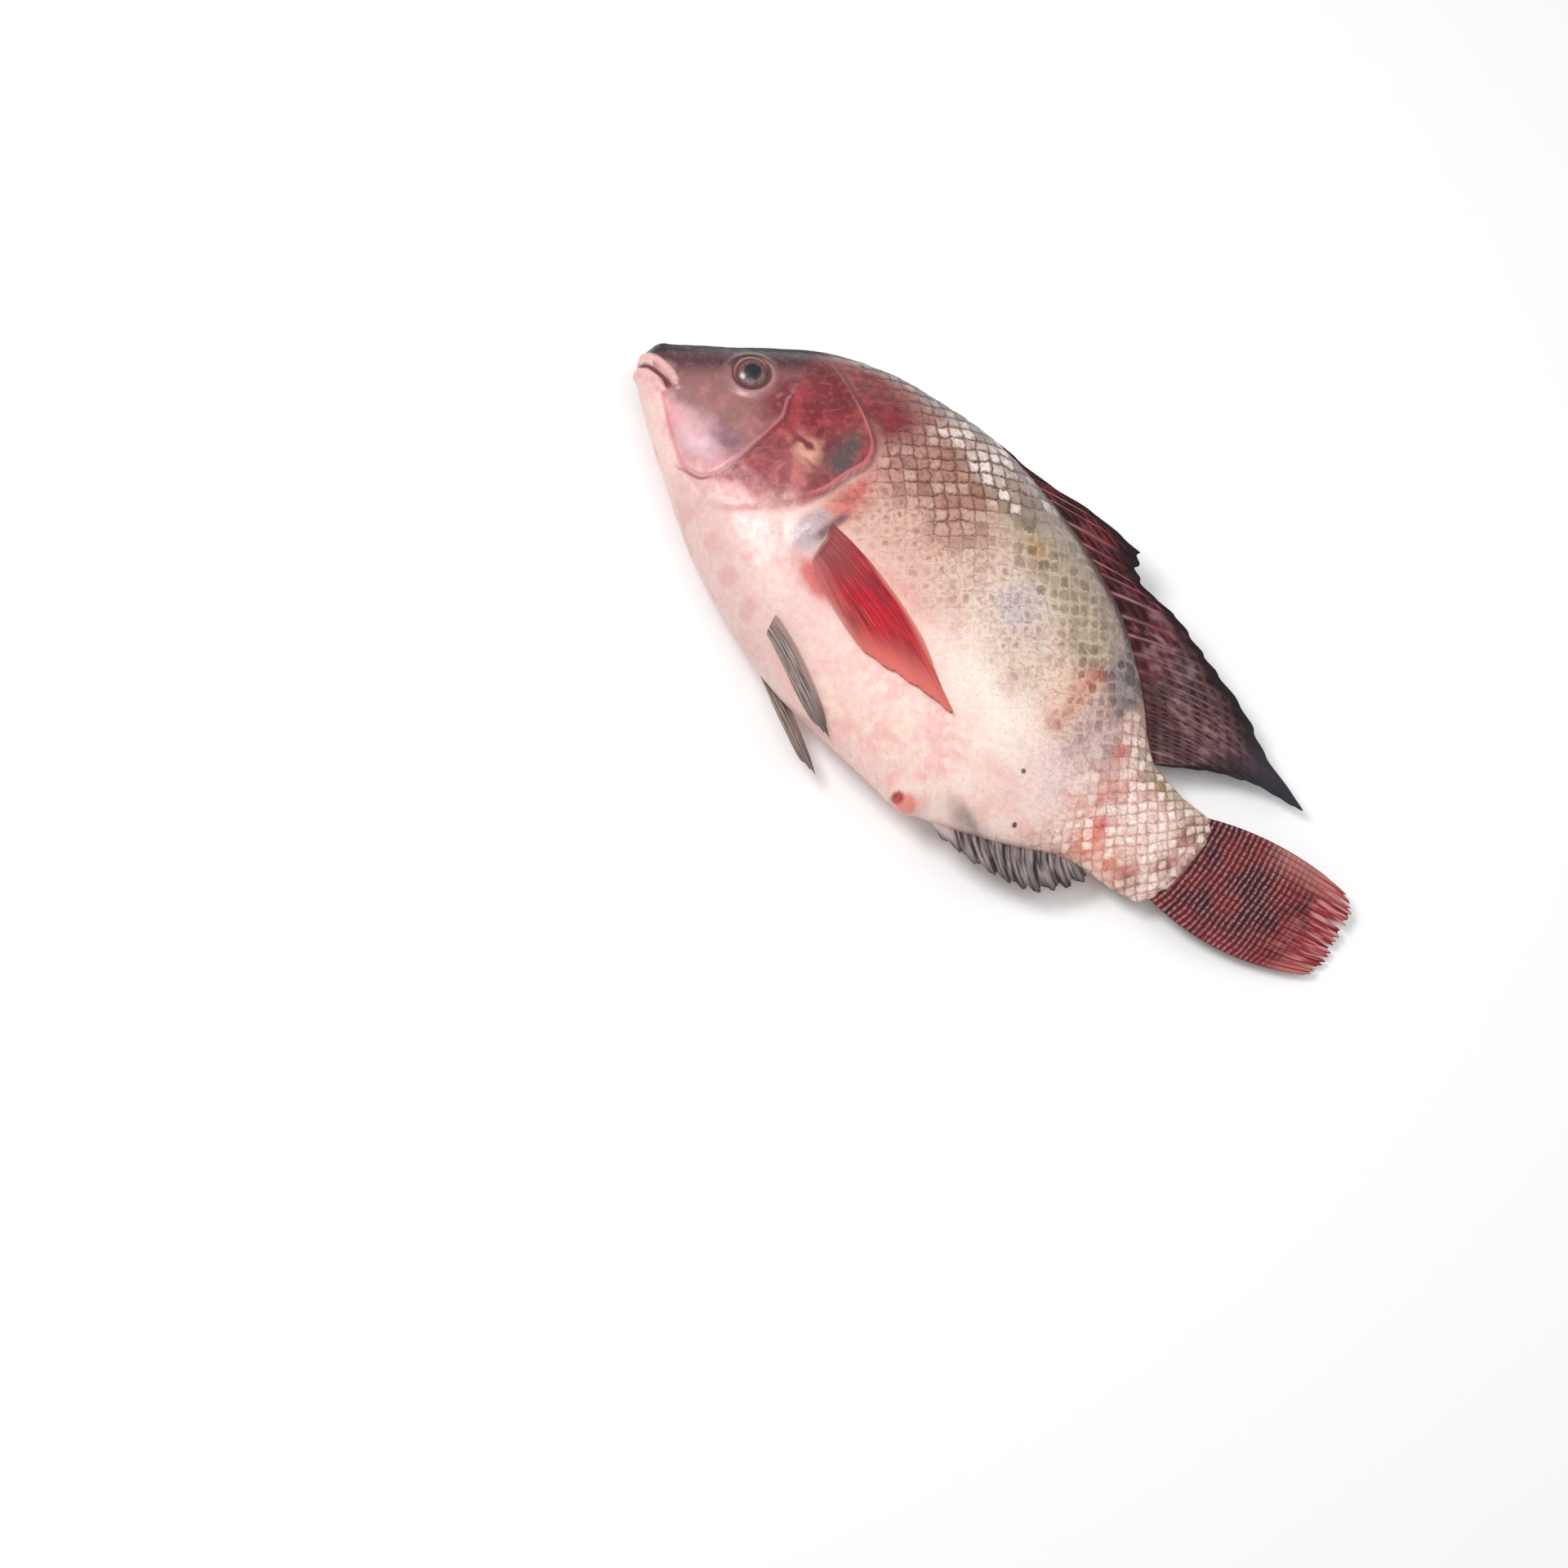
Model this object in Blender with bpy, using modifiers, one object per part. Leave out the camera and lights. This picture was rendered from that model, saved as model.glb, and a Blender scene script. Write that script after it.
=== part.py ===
"""A whole raw tilapia, 300 mm long, lying on its right side.

One closed solid: the body with its head relief and scales, the eyes and the seven fins, all fused.
Metres, +Z up.  The snout is at -X, the tail at +X, the back at +Y and the left flank looks up.
Stations and outlines are in millimetres in the fish's own plane, with the snout at x = 0, and MM scales them.
"""

import bpy
import bmesh
import numpy as np
from mathutils import Vector

MM = 0.001

# Driving dimensions, in millimetres
SNOUT_X = -1.8
BODY_END_X = 247.5
MID_HEIGHT = 21.5          # height of the fish's middle plane over the table, at the trunk
TAIL_HEIGHT = 7.0          # the same at the tip of the tail, which sags
NOSE_ROUND = 3.0           # length over which the blunt snout closes
ROOT_ROUND = 6.0           # length over which the scaly tail root closes
FLAT_BLEND = 1.6           # how softly the flank turns into the flat spot that it rests on
ORIGIN_X = 151.3           # the middle of the fish's box, which becomes the origin
ORIGIN_Y = 5.6

# The fish seen from its flank: (x, y) of the back line and the belly line, and half its thickness
BACK_LINE = ((-1, 12.5), (1, 13.2), (4, 15.5), (10, 20.6), (20, 29.2), (29, 37.6), (39, 46), (46, 50.8), (55, 55.4),
             (64, 58.8), (79, 62.4), (94, 64.9), (108, 65.8), (121, 64.8), (136, 62.2), (150, 59), (163, 54.8),
             (175, 50), (188, 42.2), (200, 33), (209, 25), (218, 19.8), (230, 18.8), (241, 20.2), (247, 20.4))
BELLY_LINE = ((-1, -1.4), (1, -2.2), (4, -4.4), (8, -7.2), (15, -11.8), (27, -19.2), (52, -33.4), (64, -38.6),
              (75, -42.8), (84, -45.8), (99, -49.6), (116, -51.6), (134, -52.2), (150, -52.4), (162, -51.8),
              (174, -48.2), (186, -42.6), (199, -35), (212, -26.6), (222, -22.8), (232, -21.2), (240, -19), (247, -15.6))
HALF_THICKNESS = ((-1, 5.4), (6, 8), (15, 11.6), (26, 15), (40, 18.6), (56, 21.4), (75, 23.2), (100, 24.2),
                  (125, 23.8), (150, 21.4), (172, 17.6), (190, 13.6), (206, 10), (222, 7.2), (236, 4.8), (247, 1.6))
WIDEST_SHARE = ((-1, 0.52), (30, 0.46), (80, 0.48), (130, 0.5), (247, 0.5))
RIDGE_POWER = ((-1, 0.8), (30, 0.95), (80, 1.15), (180, 1.2), (247, 1.0))
KEEL_POWER = ((-1, 0.8), (40, 0.8), (110, 0.78), (170, 1.0), (247, 1.0))

# Scales: a lattice of rows along the body, alternate rows shifted by half a scale
SCALE_START_X = 41.0
SCALE_LENGTH_FRONT = 7.0
SCALE_LENGTH_TAIL = 5.4
ROWS_PER_SIDE = 22
HEAD_RINGS = 14
SCALE_RELIEF = 0.6

# Head relief, as lines on the flank
GILL_EDGE = ((36, 49), (47, 43.5), (60, 38), (70, 33), (78.5, 26.5), (80.5, 20), (78.5, 12), (77, 4), (72, -6),
             (63, -17), (52, -24.5), (40, -25.2), (28, -19.6))
GILL_STEP = 2.0
CHEEK_EDGE = ((47, 21), (50, 13), (49.5, 4), (48.5, -6), (46.5, -14), (42, -19), (35, -19.5))
CHEEK_GROOVE = 0.8
MOUTH_SLIT = ((-3, 0.4), (1, 0.2), (4, 1), (8, 1.8), (13.5, 2))
MOUTH_DEPTH = 1.7
UPPER_LIP = ((-3, 3.2), (1, 3.6), (5, 4.6), (10, 4.8), (14.5, 3.2))
LOWER_LIP = ((-3, -2.4), (1, -2.4), (5, -1.6), (9, -0.8), (12.5, -0.4))
LIP_RELIEF = 1.1
FIN_LOBE = (82.5, -11.0, 5.5, 8.0, 1.9)      # fleshy root of the pectoral fin: x, y, half-axes, height
VENT = (160.5, -52.0, 4.0, 5.0, 1.6)
EYE_CENTRE = (31.0, 20.0)
EYE_RADIUS = 6.4
EYE_BULGE = 3.4
EYE_SINK = 1.2

# Fins, each as a few guide rays: root (x, y), tip (x, y) and how far the ray bows to the left of its way out
FIN_THICKNESS = 1.3
MEMBRANE_SHARE = 0.55
DORSAL_GUIDES = ((88, 60, 98, 66.3, 0), (100, 61, 126, 67.5, 0), (110, 61.5, 146, 70.6, 0),
                 (120, 61, 165.5, 71.6, 0), (134, 57.2, 169, 66.4, 0.5), (146, 55, 178, 63.4, 0.5),
                 (156, 52, 190.8, 64, 1), (168, 46.5, 202.5, 61.8, 1), (178, 41.8, 215.8, 59.9, 1.5),
                 (186, 37.5, 232.5, 55.9, 1.5), (191.5, 33.5, 246, 50.9, 3), (195.5, 30, 265.4, 46.7, 4.5),
                 (198, 27, 256.5, 44, 3.5), (200, 24.5, 247.5, 41.4, 3), (203, 21.5, 238.5, 36.8, 1.5),
                 (206, 18.5, 229, 30.2, 0.5), (209, 15.5, 218, 21.2, 0))
DORSAL_RAYS = 24
ANAL_GUIDES = ((166, -45, 179, -50.3, 0), (178, -40.5, 191, -49.2, -1), (189, -35, 204, -45.8, -1.5),
               (199, -29.5, 214, -41.5, -2), (208, -24.5, 221, -33.5, -1.5), (215, -21.5, 226, -24.5, 0))
ANAL_RAYS = 10
TAIL_GUIDES = ((239, 18.6, 292.5, 35.6, 3.7), (240, 14, 299, 32.3, 2.2), (241, 8.5, 300.6, 26.3, 1),
               (241.5, 2.5, 301.8, 20.6, 0), (241.5, -3.5, 303.2, 15.4, -2), (241.5, -9, 303.5, 10.4, -4),
               (240.5, -14.5, 301.8, 5.2, -6))
TAIL_RAYS = 17
PECTORAL_GUIDES = ((80, -5, 138, -15, 4.5), (80.5, -9, 155, -24.5, 3.5), (81, -13, 140, -28, 1),
                   (82, -17, 121, -31, 0), (84, -20.5, 99, -28, -1))
PECTORAL_RAYS = 9
PECTORAL_LIFT = 1.3
PECTORAL_ROOT_SINK = 2.4
PECTORAL_DEPTH = 4.0
PELVIC_GUIDES = ((89, -36, 127, -50.3, 0.8), (90, -38.8, 132, -53.6, 0.3), (92, -42, 124, -53.4, -0.5))
PELVIC_RAYS = 6
PELVIC_LIFT = 1.6
PELVIC_ROOT_SINK = 4.0
PELVIC_LEVEL = 8.5
FAR_PELVIC_SHIFT = (4.0, -7.0)
LOWEST_FIN = 0.2


def ease(value, low, high):
    """0 below low, 1 above high, and a smooth step between them."""
    t = np.clip((np.asarray(value, float) - low) / (high - low), 0, 1)
    return t * t * (3 - 2 * t)


def line(stations, at):
    """A smooth line through (position, value) stations that never overshoots them."""
    p, v = np.array(stations, float).T
    rise = np.diff(v) / np.diff(p)
    before, after = rise[:-1], rise[1:]
    mixed = np.where(before * after > 0, 2 * before * after / (before + after + 1e-12), 0)
    slope = np.concatenate([[rise[0]], mixed, [rise[-1]]])
    at = np.clip(at, p[0], p[-1])
    k = np.clip(np.searchsorted(p, at, side="right") - 1, 0, len(p) - 2)
    h = p[k + 1] - p[k]
    t = (at - p[k]) / h
    return ((1 + 2 * t) * (1 - t) ** 2 * v[k] + t * (1 - t) ** 2 * h * slope[k]
            + t * t * (3 - 2 * t) * v[k + 1] + t * t * (t - 1) * h * slope[k + 1])


def between(points, share):
    """A smooth blend through evenly spaced rows of numbers, at shares of the way from the first to the last."""
    points = np.array(points, float)
    places = np.linspace(0, 1, len(points))
    return np.stack([line(np.stack([places, column], 1), np.asarray(share, float)) for column in points.T], -1)


def distance(points, x, y):
    """Signed distance to a plane curve, positive on the left of its direction."""
    c = between(points, np.linspace(0, 1, 50))
    start, step = c[:-1], np.diff(c, axis=0)
    rel = np.stack([x, y], -1)[..., None, :] - start
    t = np.clip((rel * step).sum(-1) / (step ** 2).sum(-1), 0, 1)
    off = rel - t[..., None] * step
    gap = np.linalg.norm(off, axis=-1)
    near = gap.argmin(-1)[..., None]
    cross = np.take_along_axis(step[:, 0] * rel[..., 1] - step[:, 1] * rel[..., 0], near, -1)[..., 0]
    return np.take_along_axis(gap, near, -1)[..., 0] * np.where(cross < 0, -1, 1)


def ridge(points, x, y, width):
    """1 on a plane curve, falling to 0 over about its width."""
    return np.exp(-(distance(points, x, y) / width) ** 2)


def bump(spot, x, y):
    """A smooth oval dome: (x, y, half-axis, half-axis, height)."""
    cx, cy, rx, ry, height = spot
    return height * np.exp(-((x - cx) / rx) ** 2 - ((y - cy) / ry) ** 2)


def middle_height(x):
    """Height of the middle plane over the table: level along the trunk, sagging to the tail."""
    return MID_HEIGHT + (TAIL_HEIGHT - MID_HEIGHT) * ease(x, 135, 330) * 1.25


def rest_on_table(z):
    """Flattens what would lie below the table into a flat spot at height 0."""
    soft = (z + FLAT_BLEND) ** 2 / (4 * FLAT_BLEND)
    return np.where(z < -FLAT_BLEND, 0, np.where(z > FLAT_BLEND, z, soft))


def section(x):
    """Of the body's section at x: top, bottom and widest height, half thickness and the closing of both ends."""
    nose = np.sqrt(np.clip(1 - (np.clip(SNOUT_X + NOSE_ROUND - x, 0, None) / NOSE_ROUND) ** 2, 0, 1))
    root = np.sqrt(np.clip(1 - (np.clip(x - BODY_END_X + ROOT_ROUND, 0, None) / ROOT_ROUND) ** 2, 0, 1))
    top, low = line(BACK_LINE, x), line(BELLY_LINE, x)
    wide = low + (top - low) * line(WIDEST_SHARE, x)
    close = nose * root
    return wide + (top - wide) * close, wide + (low - wide) * close, wide, line(HALF_THICKNESS, x) * nose * root


def half_thickness(x, y):
    """Distance of the bare flank from the middle plane at a point of the side view."""
    top, low, wide, half = section(x)
    reach = np.where(y > wide, top - wide, wide - low) + 1e-9
    sine = np.clip((y - wide) / reach, -1, 1)
    power = np.where(y > wide, line(RIDGE_POWER, x), line(KEEL_POWER, x))
    return half * np.sqrt(np.clip(1 - sine ** 2, 0, 1)) ** power


def ring(x):
    """One section as (y, z) points from the back to the belly on one side, evenly spaced along the skin."""
    top, low, wide, half = section(x)
    a = np.linspace(np.pi / 2, -np.pi / 2, 241)
    sine, cosine = np.sin(a), np.clip(np.cos(a), 0, 1)
    y = wide + np.where(sine > 0, top - wide, wide - low) * sine
    z = half * cosine ** np.where(sine > 0, line(RIDGE_POWER, x), line(KEEL_POWER, x))
    run = np.concatenate([[0], np.cumsum(np.hypot(np.diff(y), np.diff(z)))])
    at = np.linspace(0, run[-1], ROWS_PER_SIDE + 1)
    return np.stack([np.interp(at, run, y), np.interp(at, run, z)], 1)


def relief(x, y):
    """How far the head's parts, the fin roots and the vent stand out of the bare body."""
    behind = distance(GILL_EDGE, x, y)
    cover = GILL_STEP * np.exp(np.minimum(behind, 0) / 12) * ease(-behind, 0, 1.5)
    out = cover * ease(x, 30, 44) * ease(-y, -46, -32)
    out -= CHEEK_GROOVE * ridge(CHEEK_EDGE, x, y, 1.7)
    out -= MOUTH_DEPTH * ridge(MOUTH_SLIT, x, y, 1.1)
    out += LIP_RELIEF * (ridge(UPPER_LIP, x, y, 1.9) + ridge(LOWER_LIP, x, y, 1.7))
    return out + bump(FIN_LOBE, x, y) + bump(VENT, x, y)


def ring_places():
    """x of every ring: even steps on the head, then half a scale apart, then closing at the tail root."""
    shrink = (SCALE_LENGTH_FRONT - SCALE_LENGTH_TAIL) / (BODY_END_X - SCALE_START_X)
    count = np.log(SCALE_LENGTH_FRONT / SCALE_LENGTH_TAIL) / shrink
    half_steps = np.arange(0, 2 * count) / 2
    trunk = SCALE_START_X + SCALE_LENGTH_FRONT * (1 - np.exp(-shrink * half_steps)) / shrink
    share = np.arange(1, HEAD_RINGS) / HEAD_RINGS
    head = SNOUT_X + (SCALE_START_X - SNOUT_X) * share ** 1.45
    last = [BODY_END_X - 0.35]
    return np.concatenate([head, trunk[trunk < BODY_END_X - 0.8], last])


def scale_bumps(rings, x, y):
    """Raises every second point of the lattice, which makes one low diamond for each scale."""
    i = (np.arange(len(rings)) - (HEAD_RINGS - 1))[:, None]
    j = np.arange(x.shape[1])[None, :]
    raised = ((i + np.abs(j)) % 2) * 1.0 - 0.5
    skin = ease(distance(GILL_EDGE, x, y), 1, 5) * ease(x, 42, 50) * (1 - ease(x, 236, 244))
    breast = 1 - 0.8 * ease(-y - 8 + (x - 80) * 0.22, 6, 26) * (1 - ease(x, 120, 185))
    return SCALE_RELIEF * raised * skin * breast


def body_points():
    """Every ring of the body, as an array (ring, point, xyz); points run round from the back over the left flank."""
    xs = ring_places()
    side = np.stack([ring(x) for x in xs])
    left = np.concatenate([np.repeat(xs[:, None, None], ROWS_PER_SIDE + 1, 1), side], 2)
    lift = relief(left[..., 0], left[..., 1]) + scale_bumps(xs, left[..., 0], left[..., 1])
    along = np.gradient(left, axis=0)
    across = np.gradient(left, axis=1)
    normal = np.cross(across, along)
    normal[:, [0, -1], 2] = 0
    normal /= np.linalg.norm(normal, axis=-1, keepdims=True) + 1e-12
    left = left + normal * lift[..., None]
    left[..., 2] = np.maximum(left[..., 2], 0)
    right = left[:, -2:0:-1] * (1, 1, -1)
    whole = np.concatenate([left, right], 1)
    return settle(whole)


def settle(points):
    """Puts points given about the middle plane in their place over the table."""
    placed = points.copy()
    placed[..., 2] = rest_on_table(points[..., 2] + middle_height(points[..., 0]))
    return placed


def to_row(point):
    """A point in millimetres on the fish's plane, in metres from the origin."""
    return Vector(((point[0] - ORIGIN_X) * MM, (point[1] - ORIGIN_Y) * MM, point[2] * MM))


def clear_scene():
    for obj in list(bpy.data.objects):
        bpy.data.objects.remove(obj, do_unlink=True)


def add_object(name, bm, collection):
    mesh = bpy.data.meshes.new(name)
    bm.to_mesh(mesh)
    bm.free()
    obj = bpy.data.objects.new(name, mesh)
    collection.objects.link(obj)
    return obj


def make_body(collection):
    """The body from a sphere whose poles become the mouth and the tail root."""
    points = body_points()
    rings, around = points.shape[:2]
    bm = bmesh.new()
    bmesh.ops.create_uvsphere(bm, u_segments=around, v_segments=rings + 1, radius=1)
    for vert in bm.verts:
        tilt = np.arccos(np.clip(vert.co.z, -1, 1)) / np.pi * (rings + 1)
        turn = np.arctan2(vert.co.y, vert.co.x) / (2 * np.pi) * around
        i = int(round(tilt)) - 1
        if i < 0:
            vert.co = to_row(settle(np.array([SNOUT_X, section(SNOUT_X)[2], 0.0])))
        elif i >= rings:
            vert.co = to_row(settle(np.array([BODY_END_X, section(BODY_END_X)[2], 0.0])))
        else:
            vert.co = to_row(points[i, int(round(turn)) % around])
    bmesh.ops.recalc_face_normals(bm, faces=bm.faces)
    return add_object("body", bm, collection)


def make_eye(side, collection):
    """An eyeball standing a little out of its socket; side is 1 on the left flank, -1 on the right."""
    bm = bmesh.new()
    bmesh.ops.create_uvsphere(bm, u_segments=16, v_segments=8, radius=1)
    x, y = EYE_CENTRE
    out = half_thickness(np.array(x), np.array(y)) - EYE_SINK
    for vert in bm.verts:
        local = np.array([x + EYE_RADIUS * vert.co.x, y + EYE_RADIUS * vert.co.y,
                          side * (out + EYE_BULGE * vert.co.z)])
        vert.co = to_row(settle(local))
    bmesh.ops.recalc_face_normals(bm, faces=bm.faces)
    return add_object("eye", bm, collection)


def make_fin(name, guides, rays, depth, height_at, collection, fray=1.4, grow=0, thickness=FIN_THICKNESS):
    """A fan of curved rays between a fin's guide rays, thick along each ray and thin between them.

    height_at gives the sheet's place over the table.  A ray reaches past its membrane by fray.
    The thickness grows both ways from the sheet for grow 0, down for -1 and up for 1.
    """
    columns = 2 * rays
    bm = bmesh.new()
    bmesh.ops.create_grid(bm, x_segments=columns, y_segments=depth, size=0.5)
    weight = bm.verts.layers.deform.verify()
    for vert in bm.verts:
        across = vert.co.x + 0.5
        along = vert.co.y + 0.5
        is_ray = int(round(across * columns)) % 2
        x0, y0, x1, y1, bow = between(guides, across)
        reach = np.hypot(x1 - x0, y1 - y0)
        along *= 1 - (0 if is_ray else min(fray, 0.3 * reach) / reach)
        side = 4 * along * (1 - along) * bow / reach
        x = x0 + (x1 - x0) * along - (y1 - y0) * side
        y = y0 + (y1 - y0) * along + (x1 - x0) * side
        vert.co = to_row((x, y, height_at(x, y, along, across, is_ray)))
        vert[weight][0] = (1 if is_ray else MEMBRANE_SHARE) * (1 - 0.35 * along)
    obj = add_object(name, bm, collection)
    obj.vertex_groups.new(name="ray")
    solid = obj.modifiers.new("thickness", "SOLIDIFY")
    solid.thickness = thickness * MM
    solid.offset = grow
    if grow == 0:
        solid.vertex_group = "ray"
    return obj


def upright(wave):
    """A fin in the middle plane, with a slow wave that grows away from the body."""
    def height(x, y, along, across, is_ray):
        return float(middle_height(x)) + wave * along * np.sin(5.5 * across + 0.6)
    return height


def on_flank(side):
    """A fin lying back on the flank: its outer face leaves the skin at the root and stands over it, most on rays."""
    def height(x, y, along, across, is_ray):
        lift = PECTORAL_LIFT + 0.5 * along + (0.35 if is_ray else 0) - PECTORAL_ROOT_SINK * (1 - along) ** 6
        placed = settle(np.array([x, y, side * (half_thickness(x, y) + lift)]))[2]
        return max(float(placed), LOWEST_FIN)
    return height


def over_belly(x, y, along, across, is_ray):
    """The upper pelvic fin: it follows the belly at a small height, and runs level past the belly's edge."""
    over = float(half_thickness(np.array(x), np.array(y))) + PELVIC_LIFT - PELVIC_ROOT_SINK * (1 - along) ** 6
    return float(middle_height(x)) + 0.5 * (over + PELVIC_LEVEL + np.hypot(over - PELVIC_LEVEL, 3.0))


def under_belly(x, y, along, across, is_ray):
    """The lower pelvic fin: it leaves the belly beside the keel and spreads from the middle plane."""
    return float(middle_height(x)) - 7.5 - 3 * along + 1.5 * across


def make_fins(collection):
    make_fin("dorsal_fin", DORSAL_GUIDES, DORSAL_RAYS, 3, upright(1.2), collection)
    make_fin("anal_fin", ANAL_GUIDES, ANAL_RAYS, 3, upright(0.8), collection)
    make_fin("tail_fin", TAIL_GUIDES, TAIL_RAYS, 4, upright(1.4), collection, fray=2.2)
    for side in (1, -1):
        make_fin("pectoral_fin", PECTORAL_GUIDES, PECTORAL_RAYS, 6, on_flank(side), collection,
                 grow=-side, thickness=PECTORAL_DEPTH)
    make_fin("pelvic_fin", PELVIC_GUIDES, PELVIC_RAYS, 4, over_belly, collection)
    back, down = FAR_PELVIC_SHIFT
    far = [(x0, y0 - 3, x1 + back, y1 + down, bow) for x0, y0, x1, y1, bow in PELVIC_GUIDES]
    make_fin("pelvic_fin", far, PELVIC_RAYS, 4, under_belly, collection)


def skin_material():
    material = bpy.data.materials.new("fish_skin")
    material.use_nodes = True
    shader = material.node_tree.nodes["Principled BSDF"]
    shader.inputs["Base Color"].default_value = (0.62, 0.42, 0.36, 1)
    shader.inputs["Roughness"].default_value = 0.35
    shader.inputs["Metallic"].default_value = 0.0
    return material


def fuse(pieces, collection):
    """Joins the pieces into one solid with a single Boolean union, and removes them."""
    base = pieces.objects["body"]
    pieces.objects.unlink(base)
    collection.objects.link(base)
    join = base.modifiers.new("join", "BOOLEAN")
    join.operation = "UNION"
    join.operand_type = "COLLECTION"
    join.collection = pieces
    graph = bpy.context.evaluated_depsgraph_get()
    mesh = bpy.data.meshes.new_from_object(base.evaluated_get(graph))
    fish = bpy.data.objects.new("fish", mesh)
    collection.objects.link(fish)
    for obj in [base, *pieces.objects]:
        bpy.data.objects.remove(obj, do_unlink=True)
    bpy.data.collections.remove(pieces)
    mesh.materials.clear()
    mesh.materials.append(skin_material())
    mesh.shade_smooth()
    mesh.set_sharp_from_angle(angle=np.radians(40))
    return fish


def main():
    clear_scene()
    collection = bpy.data.collections.new("whole_fish")
    pieces = bpy.data.collections.new("pieces")
    bpy.context.scene.collection.children.link(collection)
    bpy.context.scene.collection.children.link(pieces)
    make_body(pieces)
    for side in (1, -1):
        make_eye(side, pieces)
    make_fins(pieces)
    fuse(pieces, collection)


main()
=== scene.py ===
"""The looks of a whole raw tilapia that lies on its right side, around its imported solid.

Lengths are in millimetres in the fish's own plane, with the snout at x = 0 and the middle plane at z = 0,
until to_row puts them in the frame, in metres.
"""

import bpy
import numpy as np
from mathutils import Matrix, Vector


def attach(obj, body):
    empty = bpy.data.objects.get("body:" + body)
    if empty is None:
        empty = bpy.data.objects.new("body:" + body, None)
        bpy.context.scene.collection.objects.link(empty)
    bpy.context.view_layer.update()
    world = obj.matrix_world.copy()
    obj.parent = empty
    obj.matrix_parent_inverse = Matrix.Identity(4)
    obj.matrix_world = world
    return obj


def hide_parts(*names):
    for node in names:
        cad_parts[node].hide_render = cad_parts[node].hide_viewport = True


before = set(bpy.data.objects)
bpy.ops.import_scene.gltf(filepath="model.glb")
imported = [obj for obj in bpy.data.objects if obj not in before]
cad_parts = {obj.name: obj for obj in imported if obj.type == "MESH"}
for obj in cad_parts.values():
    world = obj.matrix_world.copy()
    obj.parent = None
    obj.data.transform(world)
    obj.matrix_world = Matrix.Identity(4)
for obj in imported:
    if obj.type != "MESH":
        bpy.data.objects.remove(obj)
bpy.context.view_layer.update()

MM = 0.001

# The driving dimensions of the solid
SNOUT_X = -1.8
BODY_END_X = 247.5
MID_HEIGHT = 21.5
TAIL_HEIGHT = 7.0
NOSE_ROUND = 3.0
ROOT_ROUND = 6.0
FLAT_BLEND = 1.6
ORIGIN_X = 151.3
ORIGIN_Y = 5.6

# The fish seen from its flank: (x, y) of the back line and the belly line, and half its thickness
BACK_LINE = ((-1, 12.5), (1, 13.2), (4, 15.5), (10, 20.6), (20, 29.2), (29, 37.6), (39, 46), (46, 50.8),
             (55, 55.4), (64, 58.8), (79, 62.4), (94, 64.9), (108, 65.8), (121, 64.8), (136, 62.2), (150, 59),
             (163, 54.8), (175, 50), (188, 42.2), (200, 33), (209, 25), (218, 19.8), (230, 18.8), (241, 20.2),
             (247, 20.4))
BELLY_LINE = ((-1, -1.4), (1, -2.2), (4, -4.4), (8, -7.2), (15, -11.8), (27, -19.2), (52, -33.4), (64, -38.6),
              (75, -42.8), (84, -45.8), (99, -49.6), (116, -51.6), (134, -52.2), (150, -52.4), (162, -51.8),
              (174, -48.2), (186, -42.6), (199, -35), (212, -26.6), (222, -22.8), (232, -21.2), (240, -19),
              (247, -15.6))
HALF_THICKNESS = ((-1, 5.4), (6, 8), (15, 11.6), (26, 15), (40, 18.6), (56, 21.4), (75, 23.2), (100, 24.2),
                  (125, 23.8), (150, 21.4), (172, 17.6), (190, 13.6), (206, 10), (222, 7.2), (236, 4.8),
                  (247, 1.6))
WIDEST_SHARE = ((-1, 0.52), (30, 0.46), (80, 0.48), (130, 0.5), (247, 0.5))
RIDGE_POWER = ((-1, 0.8), (30, 0.95), (80, 1.15), (180, 1.2), (247, 1.0))
KEEL_POWER = ((-1, 0.8), (40, 0.8), (110, 0.78), (170, 1.0), (247, 1.0))

# Fineness of the skin and the eyes: rings from snout to tail, points of a ring on the side that shows and on
# the other, where along the fish the rings lie, and the circles of an eye and their points
RINGS = 290
LEFT_STEPS = 202
RIGHT_STEPS = 138
RING_PLACES = ((0, -1), (0.03, 0.3), (0.1, 10), (0.25, 42), (0.93, 232), (1, 246.8))
EYE_RINGS = 32
EYE_STEPS = 72

# Scales
SCALE_LENGTH = ((-1, 6.4), (90, 6.4), (150, 6.0), (200, 4.9), (247, 4.2))
ROW_SPACING = ((-1, 3.5), (100, 3.5), (160, 3.35), (200, 3.0), (247, 2.6))
EDGE_BULGE = 0.5
EDGE_POWER = 1.6
SCALE_RELIEF = 0.34

# Head relief, as lines on the flank
GILL_EDGE = ((36, 49), (47, 43.5), (60, 38), (70, 33), (78.5, 26.5), (80.5, 20), (78.5, 12), (77, 4),
             (72, -6), (63, -17), (52, -24.5), (40, -25.2), (28, -19.6))
GILL_STEP = 1.9
CHEEK_EDGE = ((47, 21), (50, 13), (49.5, 4), (48.5, -6), (46.5, -14), (42, -19), (35, -19.5))
JAW_CREASE = ((12.4, -3.3), (17.9, -7.5), (25.9, -13.1), (31.9, -16.7), (40.6, -20.6), (47, -22.7))
THROAT_CREASE = ((26, -17), (33, -22.9), (43.1, -26.5), (48.8, -24.6), (53, -22.9))
MOUTH_SLIT = ((-4, -0.6), (0, -0.2), (3.5, 1.2), (8, 1.0), (13, -0.6))
UPPER_LIP = ((-4, 2.4), (0, 3.4), (4, 4.5), (9, 3.9), (14.6, 1.6))
LOWER_LIP = ((-4, -3.4), (0, -2.9), (4, -1.5), (8, -1.7), (12, -2.8))

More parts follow.
